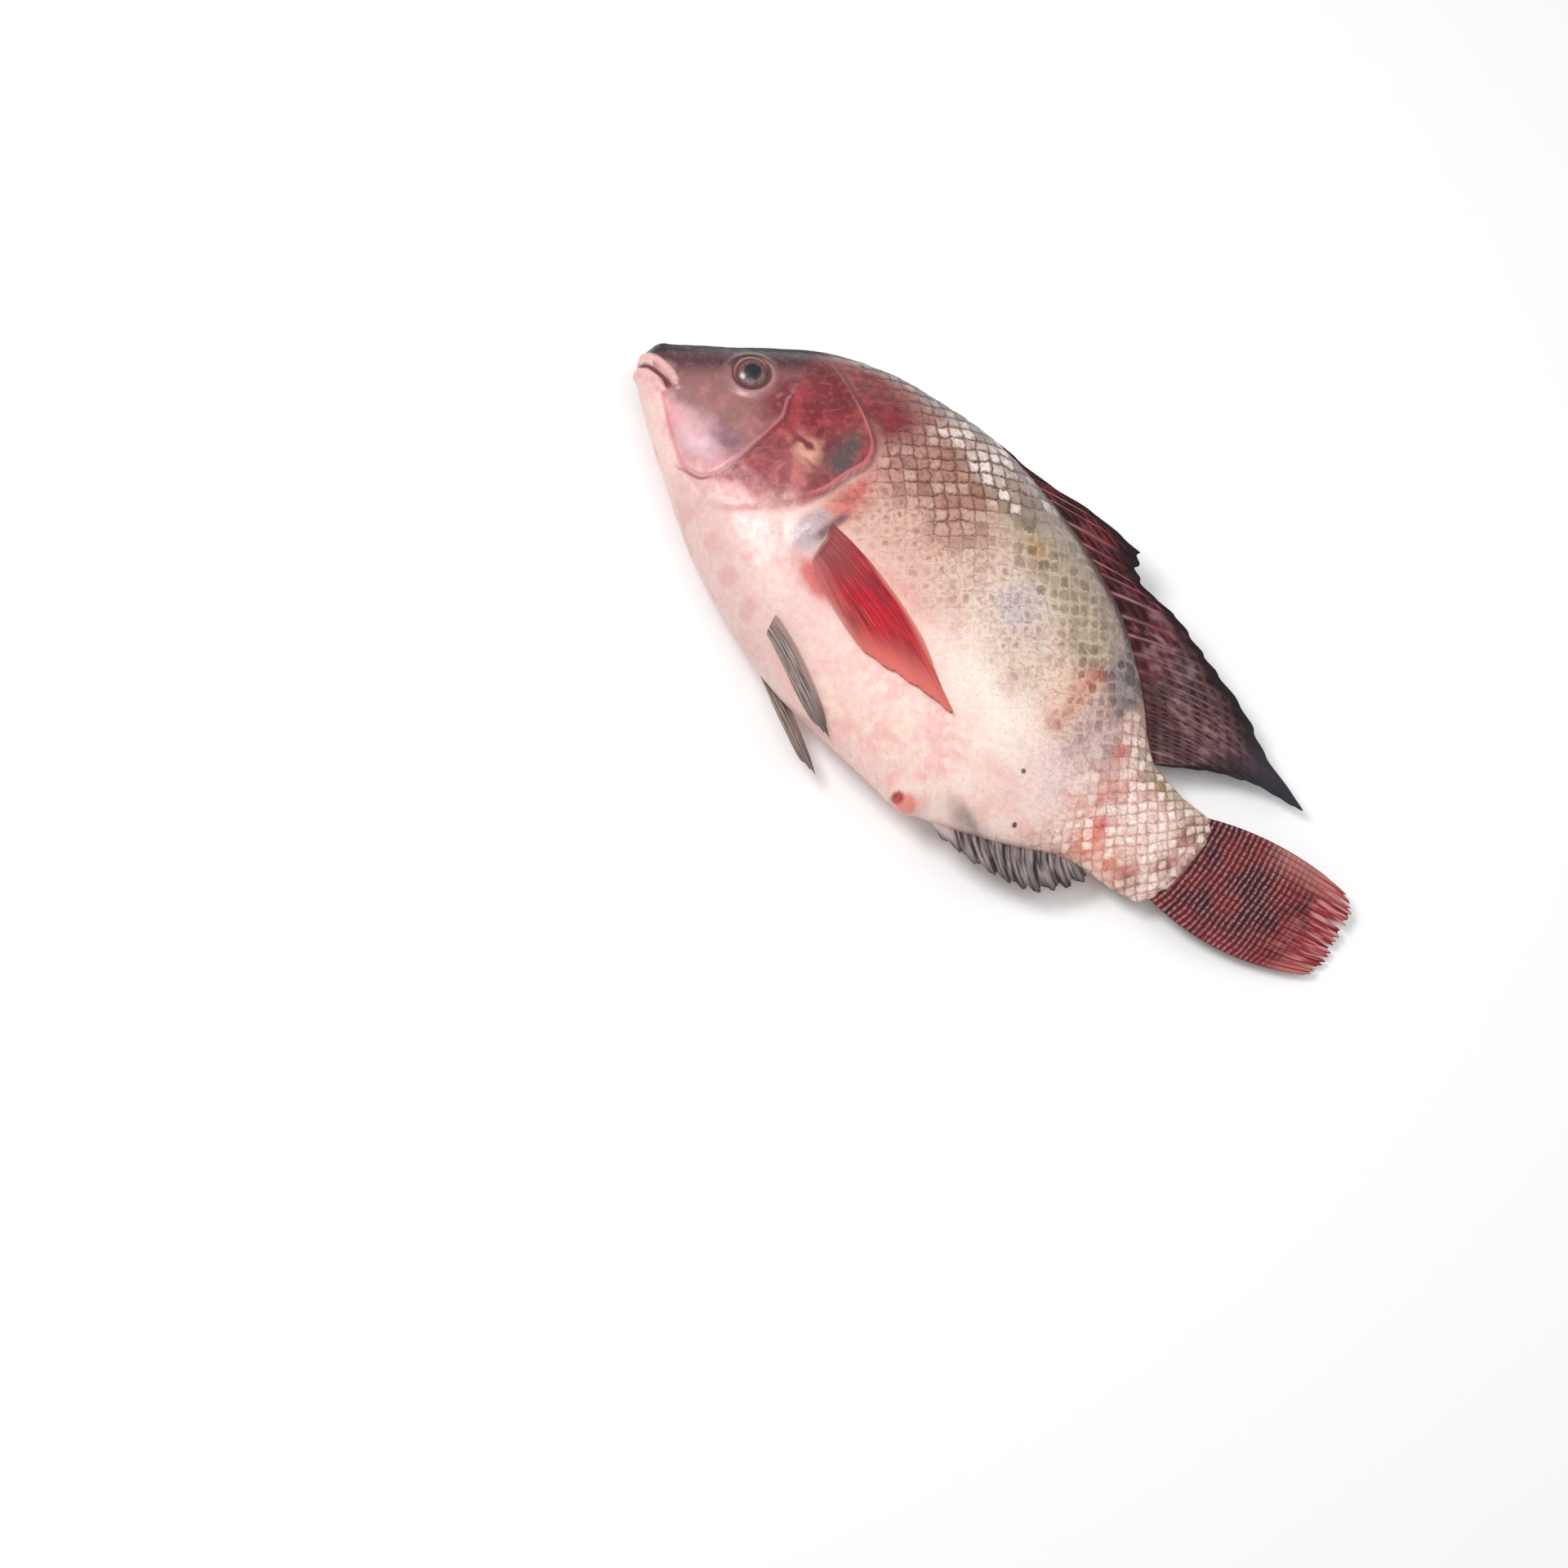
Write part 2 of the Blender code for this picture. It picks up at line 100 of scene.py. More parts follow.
# The folds along those lines: how high each stands, or how deep it is, and its half width
FOLDS = ((JAW_CREASE, -0.35, 0.9), (THROAT_CREASE, -0.3, 0.7), (MOUTH_SLIT, -2.0, 0.7), (UPPER_LIP, 0.9, 1.3),
         (LOWER_LIP, 0.6, 1.2))

# The eyes, the nostril, the lobe at the pectoral fin's root, and the vent
EYE_CENTRE = (31.0, 20.0)
EYE_RADIUS = 6.4
EYE_BULGE = 3.4
EYE_SINK = 1.2
NOSTRIL = (20.5, 17.0)
FIN_LOBE = (81.5, -8.0)
VENT = (161.5, -51.6)
VENT_LEVEL = 24.0

# Fins, each as a few guide rays: root (x, y), tip (x, y) and how far the ray bows to the left of its way out
DORSAL_GUIDES = ((88, 60, 98, 66.3, 0), (100, 61, 126, 67.5, 0), (110, 61.5, 146, 70.6, 0),
                 (120, 61, 165.5, 71.6, 0), (134, 57.2, 169, 66.4, 0.5), (146, 55, 178, 63.4, 0.5),
                 (156, 52, 190.8, 64, 1), (168, 46.5, 202.5, 61.8, 1), (178, 41.8, 215.8, 59.9, 1.5),
                 (186, 37.5, 232.5, 55.9, 1.5), (191.5, 33.5, 246, 50.9, 3), (195.5, 30, 265.4, 46.7, 4.5),
                 (198, 27, 256.5, 44, 3.5), (200, 24.5, 247.5, 41.4, 3), (203, 21.5, 238.5, 36.8, 1.5),
                 (206, 18.5, 229, 30.2, 0.5), (209, 15.5, 218, 21.2, 0))
ANAL_GUIDES = ((166, -45, 179, -50.3, 0), (178, -40.5, 191, -49.2, -1), (189, -35, 204, -45.8, -1.5),
               (199, -29.5, 214, -41.5, -2), (208, -24.5, 221, -33.5, -1.5), (215, -21.5, 226, -24.5, 0))
TAIL_GUIDES = ((239, 18.6, 292.5, 35.6, 3.7), (240, 14, 299, 32.3, 2.2), (241, 8.5, 300.6, 26.3, 1),
               (241.5, 2.5, 301.8, 20.6, 0), (241.5, -3.5, 303.2, 15.4, -2), (241.5, -9, 303.5, 10.4, -4),
               (240.5, -14.5, 301.8, 5.2, -6))
PECTORAL_GUIDES = ((82, -3.2, 134, -12.6, 2.2), (83, -5.6, 147, -18.9, 2.6), (84, -8, 157, -22.8, 2),
                   (85, -10.5, 147, -24.2, 1.2), (86, -12.5, 136, -26, 0.3), (87, -14.5, 122, -28.3, -0.3),
                   (88.5, -16.5, 107, -25.2, -1))
PELVIC_GUIDES = ((89, -36, 127, -50.3, 0.8), (90, -38.8, 132, -53.6, 0.3), (92, -42, 124, -53.4, -0.5))
PELVIC_LIFT = 1.6
PELVIC_ROOT_SINK = 4.0
PELVIC_LEVEL = 8.5
FAR_PELVIC_SHIFT = (4.0, -7.0)
LOWEST_FIN = 0.35

# The photograph's view
VIEW_TARGET = (150.0, 0.0, 20.0)
VIEW_AIM = (130.6, -72.5, 20.0)
VIEW_ROLL = 42.1
VIEW_LENS = 75.9
VIEW_TILT = 20.0
VIEW_YAW = 6.0
VIEW_DISTANCE = 1100.0

# The stage: each lamp's name, place, size and power, and the sky's brightness
LAMPS = (("key", (-0.5, -0.2, 0.85), 0.35, 5.5), ("fill", (0.5, 0.5, 0.8), 0.9, 2.2),
         ("top", (0.1, -0.2, 1.3), 0.7, 3.5))
SKY_STRENGTH = 0.42
FLOOR_REACH = 3.0
FLOOR_LEVEL = -0.0002


def ease(value, low, high):
    """0 below low, 1 above high, and a smooth step between them."""
    t = np.clip((np.asarray(value, float) - low) / (high - low), 0, 1)
    return t * t * (3 - 2 * t)


def line(stations, at):
    """A smooth line through (position, value) stations that never overshoots them."""
    p, v = np.array(stations, float).T
    rise = np.diff(v) / np.diff(p)
    before, after = rise[:-1], rise[1:]
    mixed = np.where(before * after > 0, 2 * before * after / (before + after + 1e-12), 0)
    slope = np.concatenate([[rise[0]], mixed, [rise[-1]]])
    at = np.clip(at, p[0], p[-1])
    k = np.clip(np.searchsorted(p, at, side="right") - 1, 0, len(p) - 2)
    h = p[k + 1] - p[k]
    t = (at - p[k]) / h
    return ((1 + 2 * t) * (1 - t) ** 2 * v[k] + t * (1 - t) ** 2 * h * slope[k]
            + t * t * (3 - 2 * t) * v[k + 1] + t * t * (t - 1) * h * slope[k + 1])


def between(points, share):
    """A smooth blend through evenly spaced rows of numbers, at shares of the way from first to last."""
    points = np.array(points, float)
    share = np.asarray(share, float)
    places = np.linspace(0, 1, len(points))
    return np.stack([line(np.stack([places, column], 1), share) for column in points.T], -1)


def distance(points, x, y):
    """Signed distance to a plane curve, positive on the left of its direction."""
    c = between(points, np.linspace(0, 1, 40))
    start, step = c[:-1], np.diff(c, axis=0)
    rel = np.stack([x, y], -1)[..., None, :] - start
    t = np.clip((rel * step).sum(-1) / (step ** 2).sum(-1), 0, 1)
    off = rel - t[..., None] * step
    gap = np.linalg.norm(off, axis=-1)
    near = gap.argmin(-1)[..., None]
    cross = np.take_along_axis(step[:, 0] * rel[..., 1] - step[:, 1] * rel[..., 0], near, -1)[..., 0]
    return np.take_along_axis(gap, near, -1)[..., 0] * np.where(cross < 0, -1, 1)


def oval(x, y, cx, cy, rx, ry):
    """1 at the middle of an oval spot, falling smoothly to about a third at its half-axes."""
    return np.exp(-((x - cx) / rx) ** 2 - ((y - cy) / ry) ** 2)


def blot(x, y, cx, cy, rx, ry, gain=1.3):
    """A spot like oval's, with a full middle."""
    return np.minimum(gain * oval(x, y, cx, cy, rx, ry), 1)


def mottle(p, size, seed):
    """Soft random patches from 0 to 1, about size across: a seeded lattice of numbers, smoothly blended."""
    table = np.random.default_rng(seed).random((32, 32, 32))
    cell = np.floor(p / size).astype(int)
    f = p / size - cell
    f = f * f * (3 - 2 * f)
    total = 0
    for corner in np.ndindex(2, 2, 2):
        weight = np.abs(1 - np.array(corner) - f).prod(-1)
        total = total + weight * table[tuple(np.moveaxis((cell + corner) % 32, -1, 0))]
    return total


def wobble(p, *waves):
    """Soft random moves about 0: for each wave, how far it reaches, the size of its patches, and its seed."""
    return sum(reach * (mottle(p, size, seed) - 0.5) for reach, size, seed in waves)


def middle_height(x):
    """Height of the middle plane over the table: level along the trunk, sagging to the tail."""
    return MID_HEIGHT + (TAIL_HEIGHT - MID_HEIGHT) * ease(x, 135, 330) * 1.25


def rest_on_table(z):
    """Flattens what would lie below the table into a flat spot at height 0."""
    soft = (z + FLAT_BLEND) ** 2 / (4 * FLAT_BLEND)
    return np.where(z < -FLAT_BLEND, 0, np.where(z > FLAT_BLEND, z, soft))


def settle(points):
    """Puts points given about the middle plane in their place over the table."""
    placed = points.copy()
    placed[..., 2] = rest_on_table(points[..., 2] + middle_height(points[..., 0]))
    return placed


def to_row(points):
    """Points over the table in millimetres, in metres from the frame's origin."""
    return (np.asarray(points, float) - (ORIGIN_X, ORIGIN_Y, 0)) * MM


def rounded(past, radius):
    """1 before a rounded end starts, and down to 0 over its radius."""
    return np.sqrt(np.clip(1 - (np.clip(past, 0, None) / radius) ** 2, 0, 1))


def section(x):
    """The body's section at x: top, bottom and widest height, and half thickness, closing at both ends."""
    close = rounded(SNOUT_X + NOSE_ROUND - x, NOSE_ROUND) * rounded(x - BODY_END_X + ROOT_ROUND, ROOT_ROUND)
    top, low = line(BACK_LINE, x), line(BELLY_LINE, x)
    wide = low + (top - low) * line(WIDEST_SHARE, x)
    return wide + (top - wide) * close, wide + (low - wide) * close, wide, line(HALF_THICKNESS, x) * close


def half_thickness(x, y):
    """Distance of the bare flank from the middle plane at a point of the side view."""
    top, low, wide, half = section(x)
    reach = np.where(y > wide, top - wide, wide - low) + 1e-9
    sine = np.clip((y - wide) / reach, -1, 1)
    power = np.where(y > wide, line(RIDGE_POWER, x), line(KEEL_POWER, x))
    return half * np.sqrt(np.clip(1 - sine ** 2, 0, 1)) ** power


def rings_of(xs, steps):
    """Half sections at xs as (x, y, z, way round from the widest point), evenly spaced along the skin.

    The sine of an angle gives the height and a power of its cosine the half thickness.
    """
    top, low, wide, half = (part[:, None] for part in section(xs))
    a = np.linspace(np.pi / 2, -np.pi / 2, 481)[None, :]
    sine, cosine = np.sin(a), np.clip(np.cos(a), 0, 1)
    y = wide + np.where(sine > 0, top - wide, wide - low) * sine
    power = np.where(sine > 0, line(RIDGE_POWER, xs)[:, None], line(KEEL_POWER, xs)[:, None])
    z = half * cosine ** power
    run = np.cumsum(np.hypot(np.diff(y, axis=1, prepend=y[:, :1]), np.diff(z, axis=1, prepend=z[:, :1])), 1)
    at = run[:, -1:] * np.linspace(0, 1, steps + 1)
    way = at - run[:, 240:241]
    rows = [(np.interp(a_, r_, y_), np.interp(a_, r_, z_)) for a_, r_, y_, z_ in zip(at, run, y, z)]
    ys, zs = np.array(rows).transpose(1, 0, 2)
    return np.stack([np.repeat(xs[:, None], steps + 1, 1), ys, zs, way], -1)


def lattice(x, way):
    """A point's place among the scales: scales along the body, and rows round it from the widest point."""
    places = np.linspace(SNOUT_X, BODY_END_X, 500)
    run = np.cumsum(1 / line(SCALE_LENGTH, places)) * (places[1] - places[0])
    return np.interp(x, places, run), way / line(ROW_SPACING, x) + 40.0


def scale_rise(s, t):
    """How far a point is along the scale on top there: 0 where the scale comes out, 1 at its rear edge.

    Rows are shifted by half a scale in turn, and each rear edge bulges by EDGE_BULGE over the next scale.
    """
    row = np.floor(t)
    best = 0
    for near in (0, 1):
        off = np.abs(t - row - near)
        phase = s - 0.5 * ((row + near) % 2) - EDGE_BULGE * (1 - off ** EDGE_POWER)
        best = np.maximum(best, phase - np.floor(phase))
    return best


def middle_share(x, y):
    """How high a point of the side view lies between the belly line and the back line."""
    top, low, _, _ = section(x)
    return (y - low) / (top - low + 1e-6)


def scaly(x, y):
    """How much of the scales shows: none on the head and at the fin roots, faint on the breast."""
    behind = ease(distance(GILL_EDGE, x, y), 1.0, 5) * ease(x, 40, 60)
    breast = 1 - 0.9 * ease(-y - 2 + (x - 80) * -0.1, 0, 26) * (1 - ease(x, 105, 150))
    lobe = 1 - 0.9 * oval(x, y, *FIN_LOBE, 7, 9)
    smooth = 1 - 0.6 * ease(middle_share(x, y), 0.55, 0.32) * ease(x, 215, 190)
    return behind * breast * lobe * smooth


def relief(x, y):
    """How far the head's parts, the fin roots and the vent stand out of the bare body."""
    behind = distance(GILL_EDGE, x, y)
    step = GILL_STEP * (0.25 + 0.75 * ease(y, -12, 4))
    run = 0.9 + 1.6 * ease(-y, -4, 8)
    out = step * np.exp(np.minimum(behind, 0) / 10) * ease(-behind, -0.1, run)
    out *= ease(x, 30, 44) * ease(-y, -46, -32)
    cheek = distance(CHEEK_EDGE, x, y)
    out += 0.4 * np.exp(np.minimum(cheek, 0) / 4) * ease(-cheek, -0.2, 0.8) * ease(50 - x, -1, 6)
    out -= 0.35 * np.exp(-(cheek / 0.8) ** 2)
    for curve, height, width in FOLDS:
        out += height * np.exp(-(distance(curve, x, y) / width) ** 2)
    from_eye = np.hypot(x - EYE_CENTRE[0], y - EYE_CENTRE[1])
    out += 0.9 * np.exp(-((from_eye - 7.6) / 1.4) ** 2) - 0.5 * (1 - ease(from_eye, 4.5, 6.5))
    out -= 0.8 * oval(x, y, *NOSTRIL, 0.9, 0.7) - 0.35 * oval(x, y, *NOSTRIL, 2.0, 1.7)
    out += 1.9 * oval(x, y, *FIN_LOBE, 5, 6.5) - 0.7 * oval(x, y, 90, -6, 2, 5)
    out += 1.3 * oval(x, y, *VENT, 5, 4) + 0.9 * oval(x, y, 166, -51, 2.2, 2.2)
    out -= 0.9 * oval(x, y, 160.4, -51.2, 1.1, 1.1)
    return out


def srgb(red, green, blue):
    """A colour given as it shows on a screen, from 0 to 255, as a linear colour."""
    c = np.array((red, green, blue), float) / 255
    return np.where(c <= 0.04045, c / 12.92, ((c + 0.055) / 1.055) ** 2.4)


def washed(base, hue, mask):
    """base with a hue laid over it where mask is 1."""
    return base + (np.asarray(hue) - base) * np.asarray(mask)[..., None]


def laid(colours, *layers):
    """Colours with layers over them in turn: how strongly each shows, and its tone for all, or for each."""
    for mask, *tones in layers:
        tones = tones * (len(colours) // len(tones))
        colours = [washed(colour, srgb(*tone), mask) for colour, tone in zip(colours, tones)]
    return colours


def paint(p):
    """The skin at points of the middle-plane frame, as stored attributes.

    core and rim are the colours of each scale's middle and of the net between, alike off the scales.
    look holds the size of the scales' middles, how dark their outlines are, and how many get painted white
    highlights.
    zones holds how strongly red mottling, mauve speckles and pale veins lie over the colours.
    """
    top, low, _, _ = section(p[..., 0])
    big, mid, fine = mottle(p, 16, 1), mottle(p, 6, 2), mottle(p, 2.4, 3)
    x = p[..., 0] + wobble(p, (5.0, 8, 11), (2.0, 2.4, 3))
    y = p[..., 1] + wobble(p, (5.0, 8, 12), (2.0, 2.4, 13))
    up = (y - low) / (top - low + 1e-6) + 0.1 * (big - 0.5)
    under_back = top - p[..., 1]

    # Cream and pink belly, a duller and pinker breast, and the speckled flank above
    belly = ease(up, 0.5, 0.25)
    both = laid(
        [srgb(236, 198, 190), srgb(240, 206, 197)],
        (0.9 * ease(x, 152, 172), (238, 216, 206), (244, 222, 212)),
        (0.8 * ease(mid + 0.5 * big, 0.6, 1.0) * belly, (236, 184, 180), (238, 188, 182)),
        (0.6 * ease(fine + 0.5 * big, 0.85, 1.1) * belly, (246, 222, 204), (247, 224, 206)),
        (0.9 * ease(up, 0.38, 0.24) * ease(x, 128, 96), (222, 190, 185)),
        (0.6 * ease(mid, 0.5, 0.75) * ease(up, 0.3, 0.15) * ease(x, 104, 80), (214, 164, 162)),
        (0.9 * oval(x, y, 163, -4, 24, 17), (248, 234, 220), (253, 243, 232)),
        (ease(up, 0.38, 0.56), (168, 148, 132), (228, 208, 192)),
        (0.6 * ease(mid, 0.5, 0.75) * ease(up, 0.38, 0.5), (176, 140, 128), (222, 192, 180)),
        (ease(x, 140, 110) * ease(up, 0.33, 0.47), (154, 112, 98), (218, 180, 166)),
        (0.7 * oval(x, y, 118, -4, 16, 4), (214, 154, 144), (218, 160, 150)))

    # Brown pink shoulder, pale scales with dark outlines above it, the olive band, and the grey back
    shoulder = ease(up, 0.54, 0.68) * ease(x, 138, 112)
    pale = ease(up, 0.79, 0.86) * ease(x, 82, 92) * ease(x, 144, 126)
    olive = ease(up + 0.06 * (fine - 0.5), 0.64, 0.77) * ease(x, 114, 134) * ease(x, 190, 181)
    nape = ease(up, 0.89, 0.96) * ease(x, 150, 124)
    both = laid(
        both,
        (shoulder, (190, 146, 130), (174, 130, 114)),
        (0.55 * shoulder * ease(mid, 0.55, 0.8), (160, 114, 102)),
        (pale, (212, 194, 184), (138, 112, 104)),
        (olive, (134, 118, 94), (202, 186, 164)),
        (olive * ease(up, 0.85, 0.93), (142, 130, 118), (182, 170, 156)),
        (0.9 * oval(x, y, 139.5, 38.5, 4.5, 3.5), (130, 88, 44), (198, 160, 118)),
        (nape, (160, 148, 146), (148, 136, 134)),
        # Painted shade: a dark band along the very top edge of the back, where it turns away from the light
        (0.85 * ease(under_back, 5.5, 2.5), (96, 80, 80)),
        (blot(x, y, 149, 20, 9, 8, 1.1), (156, 146, 152), (210, 196, 194)))

    # Mauve, blue grey and rust scales behind, and the tail root's white scales in a brown pink net
    rear = ease(x, 184, 192) * ease(up, 0.4, 0.56) * ease(x, 222, 206)
    dusk = ease(up, 0.72, 0.84) * ease(x, 180, 186) * ease(x, 203, 195)
    rust = np.exp(-((x - 183) / 3.2) ** 2) * ease(y, -4, 4) * ease(y, 30, 24)
    root = ease(x, 197, 213)
    mauve = 0.9 * oval(x, y, 194, -8, 13, 15)
    both = laid(
        both,
        (0.7 * oval(x, y, 180, 7, 9, 12), (234, 192, 170), (242, 200, 178)),
        (rear, (116, 78, 80), (210, 176, 170)),
        (dusk, (58, 54, 60), (158, 146, 146)),
        (rust, (146, 58, 32), (218, 168, 144)),
        (mauve, (192, 156, 160), (234, 210, 208)),
        (root, (252, 238, 228), (228, 188, 178)),
        (0.8 * root * ease(mid + 0.3 * (fine - 0.5), 0.5, 0.68), (206, 148, 136), (214, 160, 148)),
        (root * ease(up, 0.74, 0.9), (220, 202, 186), (180, 154, 140)),
        (0.5 * root * ease(up, 0.14, 0.02), (226, 186, 174), (196, 150, 138)),
        (blot(x, y, 227, 2, 9, 6, 1.2), (254, 242, 236), (232, 200, 190)),
        (0.9 * oval(x, y, 185, -41, 9, 3), (150, 132, 128)))
    uneven = 0.55 + 0.45 * ease(mid, 0.3, 0.6)
    for *spot, tone in ((219, -16, 10, 6, (226, 136, 108)), (218.5, -9.5, 3, 3, (212, 84, 82)),
                        (241, -3, 3, 5, (146, 72, 48)), (210.4, 0, 3, 6, (206, 98, 74)),
                        (225, 14, 8, 3, (160, 134, 100)), (241, 11, 3, 5, (140, 84, 66)),
                        (206, 11, 4, 7, (204, 120, 108)), (229, -5, 3, 2, (220, 136, 128)),
                        (236, -16, 5, 3, (160, 92, 80)), (243, 16, 3, 3, (150, 104, 92))):
        both = laid(both, (blot(x, y, *spot, 1.1) * uneven, tone))

    # Around the gill opening: crimson over its top, red orange under its corner, a blood patch by the fin
    wine = np.minimum(1.4 * oval(x, y, 74, 41, 10, 9) + 1.4 * oval(x, y, 59, 46, 12, 8), 1)
    wine = wine * ease(under_back, 3, 8)
    brown = blot(x, y, 85, 31, 9, 15)
    corner = blot(x, y, 84, 8, 5, 9, 1.4)
    core, rim = laid(
        both,
        (0.75 * brown, (188, 142, 134)),
        (0.95 * wine, (124, 60, 62)),
        (0.8 * oval(x, y, 76, 41, 6, 4), (150, 36, 48)),
        (0.85 * corner, (206, 108, 102)),
        (0.8 * oval(x, y, 91, -13, 5, 6), (150, 92, 94)),
        (0.9 * blot(x, y, 94, -19.5, 8, 4.5, 1.4), (196, 66, 64)))

    size = (0.38 + 0.34 * olive + 0.3 * rear + 0.2 * dusk + 0.2 * rust + 0.2 * shoulder + 0.26 * pale
            + 0.3 * root + 0.25 * mauve)
    outline = (0.8 * shoulder + pale + 0.4 * nape + 0.24 * root + 0.4 * brown + 0.2 * ease(up, 0.4, 0.6)
               - 0.5 * olive - wine)
    # Painted white highlights: how many scales get a painted white glint; the same amount also thickens the
    # wet coat
    painted_glint_and_coat = 0.65 * pale + 0.9 * root + 0.3 * rear + 0.25 * shoulder - wine
    red = np.clip(0.8 * wine + 0.7 * corner, 0, 1)
    speckle = np.clip(0.5 * nape + 0.3 * wine + 0.5 * mauve + 0.18, 0, 1)
    veins = 0.7 * corner + 0.1 * belly
    below = ease(-p[..., 1], -6, 6)
    head = ease(-distance(GILL_EDGE, p[..., 0], p[..., 1]) + below, -0.6 - 2 * below, 0.6 + below)
    head = head * ease(p[..., 0], 96, 84)
    face, *marks = head_paint(x, y, under_back, big, mid, fine)
    return {"core": washed(core, face, head), "rim": washed(rim, face, head),
            "look": np.stack([size, outline, painted_glint_and_coat], -1),
            "zones": washed(np.stack([red, speckle, veins], -1), np.stack(marks, -1), head)}


def head_paint(x, y, under_back, big, mid, fine):
    """The head's colours, and how much red mottling, mauve speckles and pale veins lie on it."""
    cheek = distance(CHEEK_EDGE, x, y)
    lower = ease(-y - 1.5 - 0.02 * x + 4 * (mid - 0.5), -3, 5)
    face, = laid(
        [srgb(146, 100, 100)],
        (ease(under_back, 22, 11), (82, 48, 56)),
        (0.7 * oval(x, y, 38, 7, 11, 6), (144, 102, 90)),
        (0.7 * ease(mid, 0.5, 0.75) * ease(x, 8, 20) * ease(under_back, 14, 22), (176, 112, 112)),
        (blot(x, y, 46, 21, 7, 12), (118, 46, 54)),
        (0.9 * ease(under_back, 17, 10) * ease(x, 18, 30), (64, 34, 40)),
        (0.5 * ease(fine, 0.5, 0.8) * ease(mid, 0.3, 0.7) * ease(under_back, 16, 24), (176, 120, 118)),
        (0.9 * lower, (206, 166, 174)),
        (blot(x, y, 42, -4.5, 8, 5), (126, 82, 96)),
        (0.8 * oval(x, y, 33, -9, 6, 4), (226, 190, 198)),
        (0.6 * ease(mid, 0.5, 0.7) * lower * ease(x, 22, 12), (214, 138, 144)),
        (0.7 * ease(cheek, -6, -1.5) * ease(-y, 0, 8), (200, 116, 124)),
        (0.8 * oval(x, y, 20, -8, 9, 4), (228, 164, 166)))

    # The gill cover
    gill = distance(GILL_EDGE, x, y)
    cover = ease(cheek, -0.6, 0.8) * ease(x, 38, 48)
    plate, = laid(
        [srgb(142, 52, 58)],
        (0.9 * ease(mid, 0.5, 0.7), (168, 62, 66)),
        (0.8 * ease(big, 0.5, 0.75), (104, 34, 42)),
        (0.8 * ease(y, 20, 32), (98, 34, 40)),
        (0.8 * oval(x, y, 57, 20, 6, 8), (112, 24, 36)),
        (0.8 * oval(x, y, 64, 0, 8, 6), (204, 118, 116)),
        (0.95 * oval(x, y, 62.5, 9.5, 5.5, 4.5) * ease(fine, 0.2, 0.5), (226, 170, 146)),
        (0.7 * oval(x, y, 71, 31, 4, 4), (184, 92, 70)),
        (blot(x, y, 72.5, 18, 4.5, 8), (84, 74, 74)),
        (0.8 * oval(x, y, 55, -5, 9, 5), (156, 50, 60)),
        (ease(-y - 8 + 0.3 * (x - 55) + 3 * (mid - 0.5), 0, 8), (206, 132, 130)),
        (0.9 * ease(gill, -8, -1) * ease(-y + 2 * mid, 0, 10), (214, 164, 160)))

    # Throat, the dark top of the head, and the pale mouth
    throat = ease(-y - 13.5 - 0.15 * (x - 30) + 2 * (mid - 0.5), 0, 6)
    chin = ease(distance(JAW_CREASE, x, y), 1.0, -3.0) * ease(x, 46, 30)
    face, = laid(
        [washed(face, plate, cover)],
        (throat, (226, 190, 186)),
        (0.6 * throat * ease(mid, 0.45, 0.75), (212, 160, 160)),
        (0.9 * chin, (236, 204, 196)),
        (0.8 * ease(under_back, 11, 7) * ease(x, 44, 30), (84, 60, 64)),
        (0.8 * ease(under_back, 9, 5) * ease(x, 44, 60), (108, 88, 88)),
        (0.95 * ease(under_back, 7.5 + 2.5 * (fine - 0.5), 5.0) * ease(x, 66, 44), (30, 24, 28)),
        (ease(-y - 1.5 + 0.35 * x, -6, 0) * ease(x, 13, 7), (230, 192, 188)))
    pale = np.clip(throat + lower * ease(x, 50, 40), 0, 1)
    clear = 1.2 * oval(x, y, 62.5, 9.5, 6, 5) + oval(x, y, 72.5, 18, 4.5, 8) + ease(-y, 6, 14)
    return face, cover * (1 - np.minimum(clear, 0.85)), np.clip(0.7 - 0.5 * pale, 0, 1), 0.12 + 0.4 * cover


def put_mesh(name, points, faces, material, smooth=True):
    """A mesh object at the origin, from points over the table in millimetres."""
    mesh = bpy.data.meshes.new(name)
    mesh.from_pydata(to_row(points).tolist(), [], faces)
    mesh.polygons.foreach_set("use_smooth", np.full(len(mesh.polygons), smooth))
    mesh.materials.append(material)
    mesh.update()
    piece = bpy.data.objects.new(name, mesh)
    bpy.context.scene.collection.objects.link(piece)
    return piece


def put_attribute(piece, name, values):
    """Stores a number, a vector or a colour on every point of a piece."""
    kind, key = {1: ("FLOAT", "value"), 3: ("FLOAT_VECTOR", "vector")}[values.shape[-1]]
    data = piece.data.attributes.new(name, kind, "POINT").data
    data.foreach_set(key, np.ascontiguousarray(values, np.float32).ravel())


def finish_piece(piece):
    """Hangs a piece on the root body, and hides the solid that it stands in for."""
    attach(piece, "root")
    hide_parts("fish")


class Value:
    """A number that varies over a surface: the operators on it add Math nodes."""

    def __init__(self, graph, socket):
        self.graph = graph
        self.socket = socket

    def __add__(self, other):
        return self.graph.math("ADD", self, other)

    def __sub__(self, other):
        return self.graph.math("SUBTRACT", self, other)

    def __mul__(self, other):
        return self.graph.math("MULTIPLY", self, other)

    def __truediv__(self, other):
        return self.graph.math("DIVIDE", self, other)

    def __pow__(self, other):
        return self.graph.math("POWER", self, other)

    def __rsub__(self, other):
        return self.graph.math("SUBTRACT", other, self)

    def __abs__(self):
        return self.graph.math("ABSOLUTE", self)

    __radd__ = __add__
    __rmul__ = __mul__


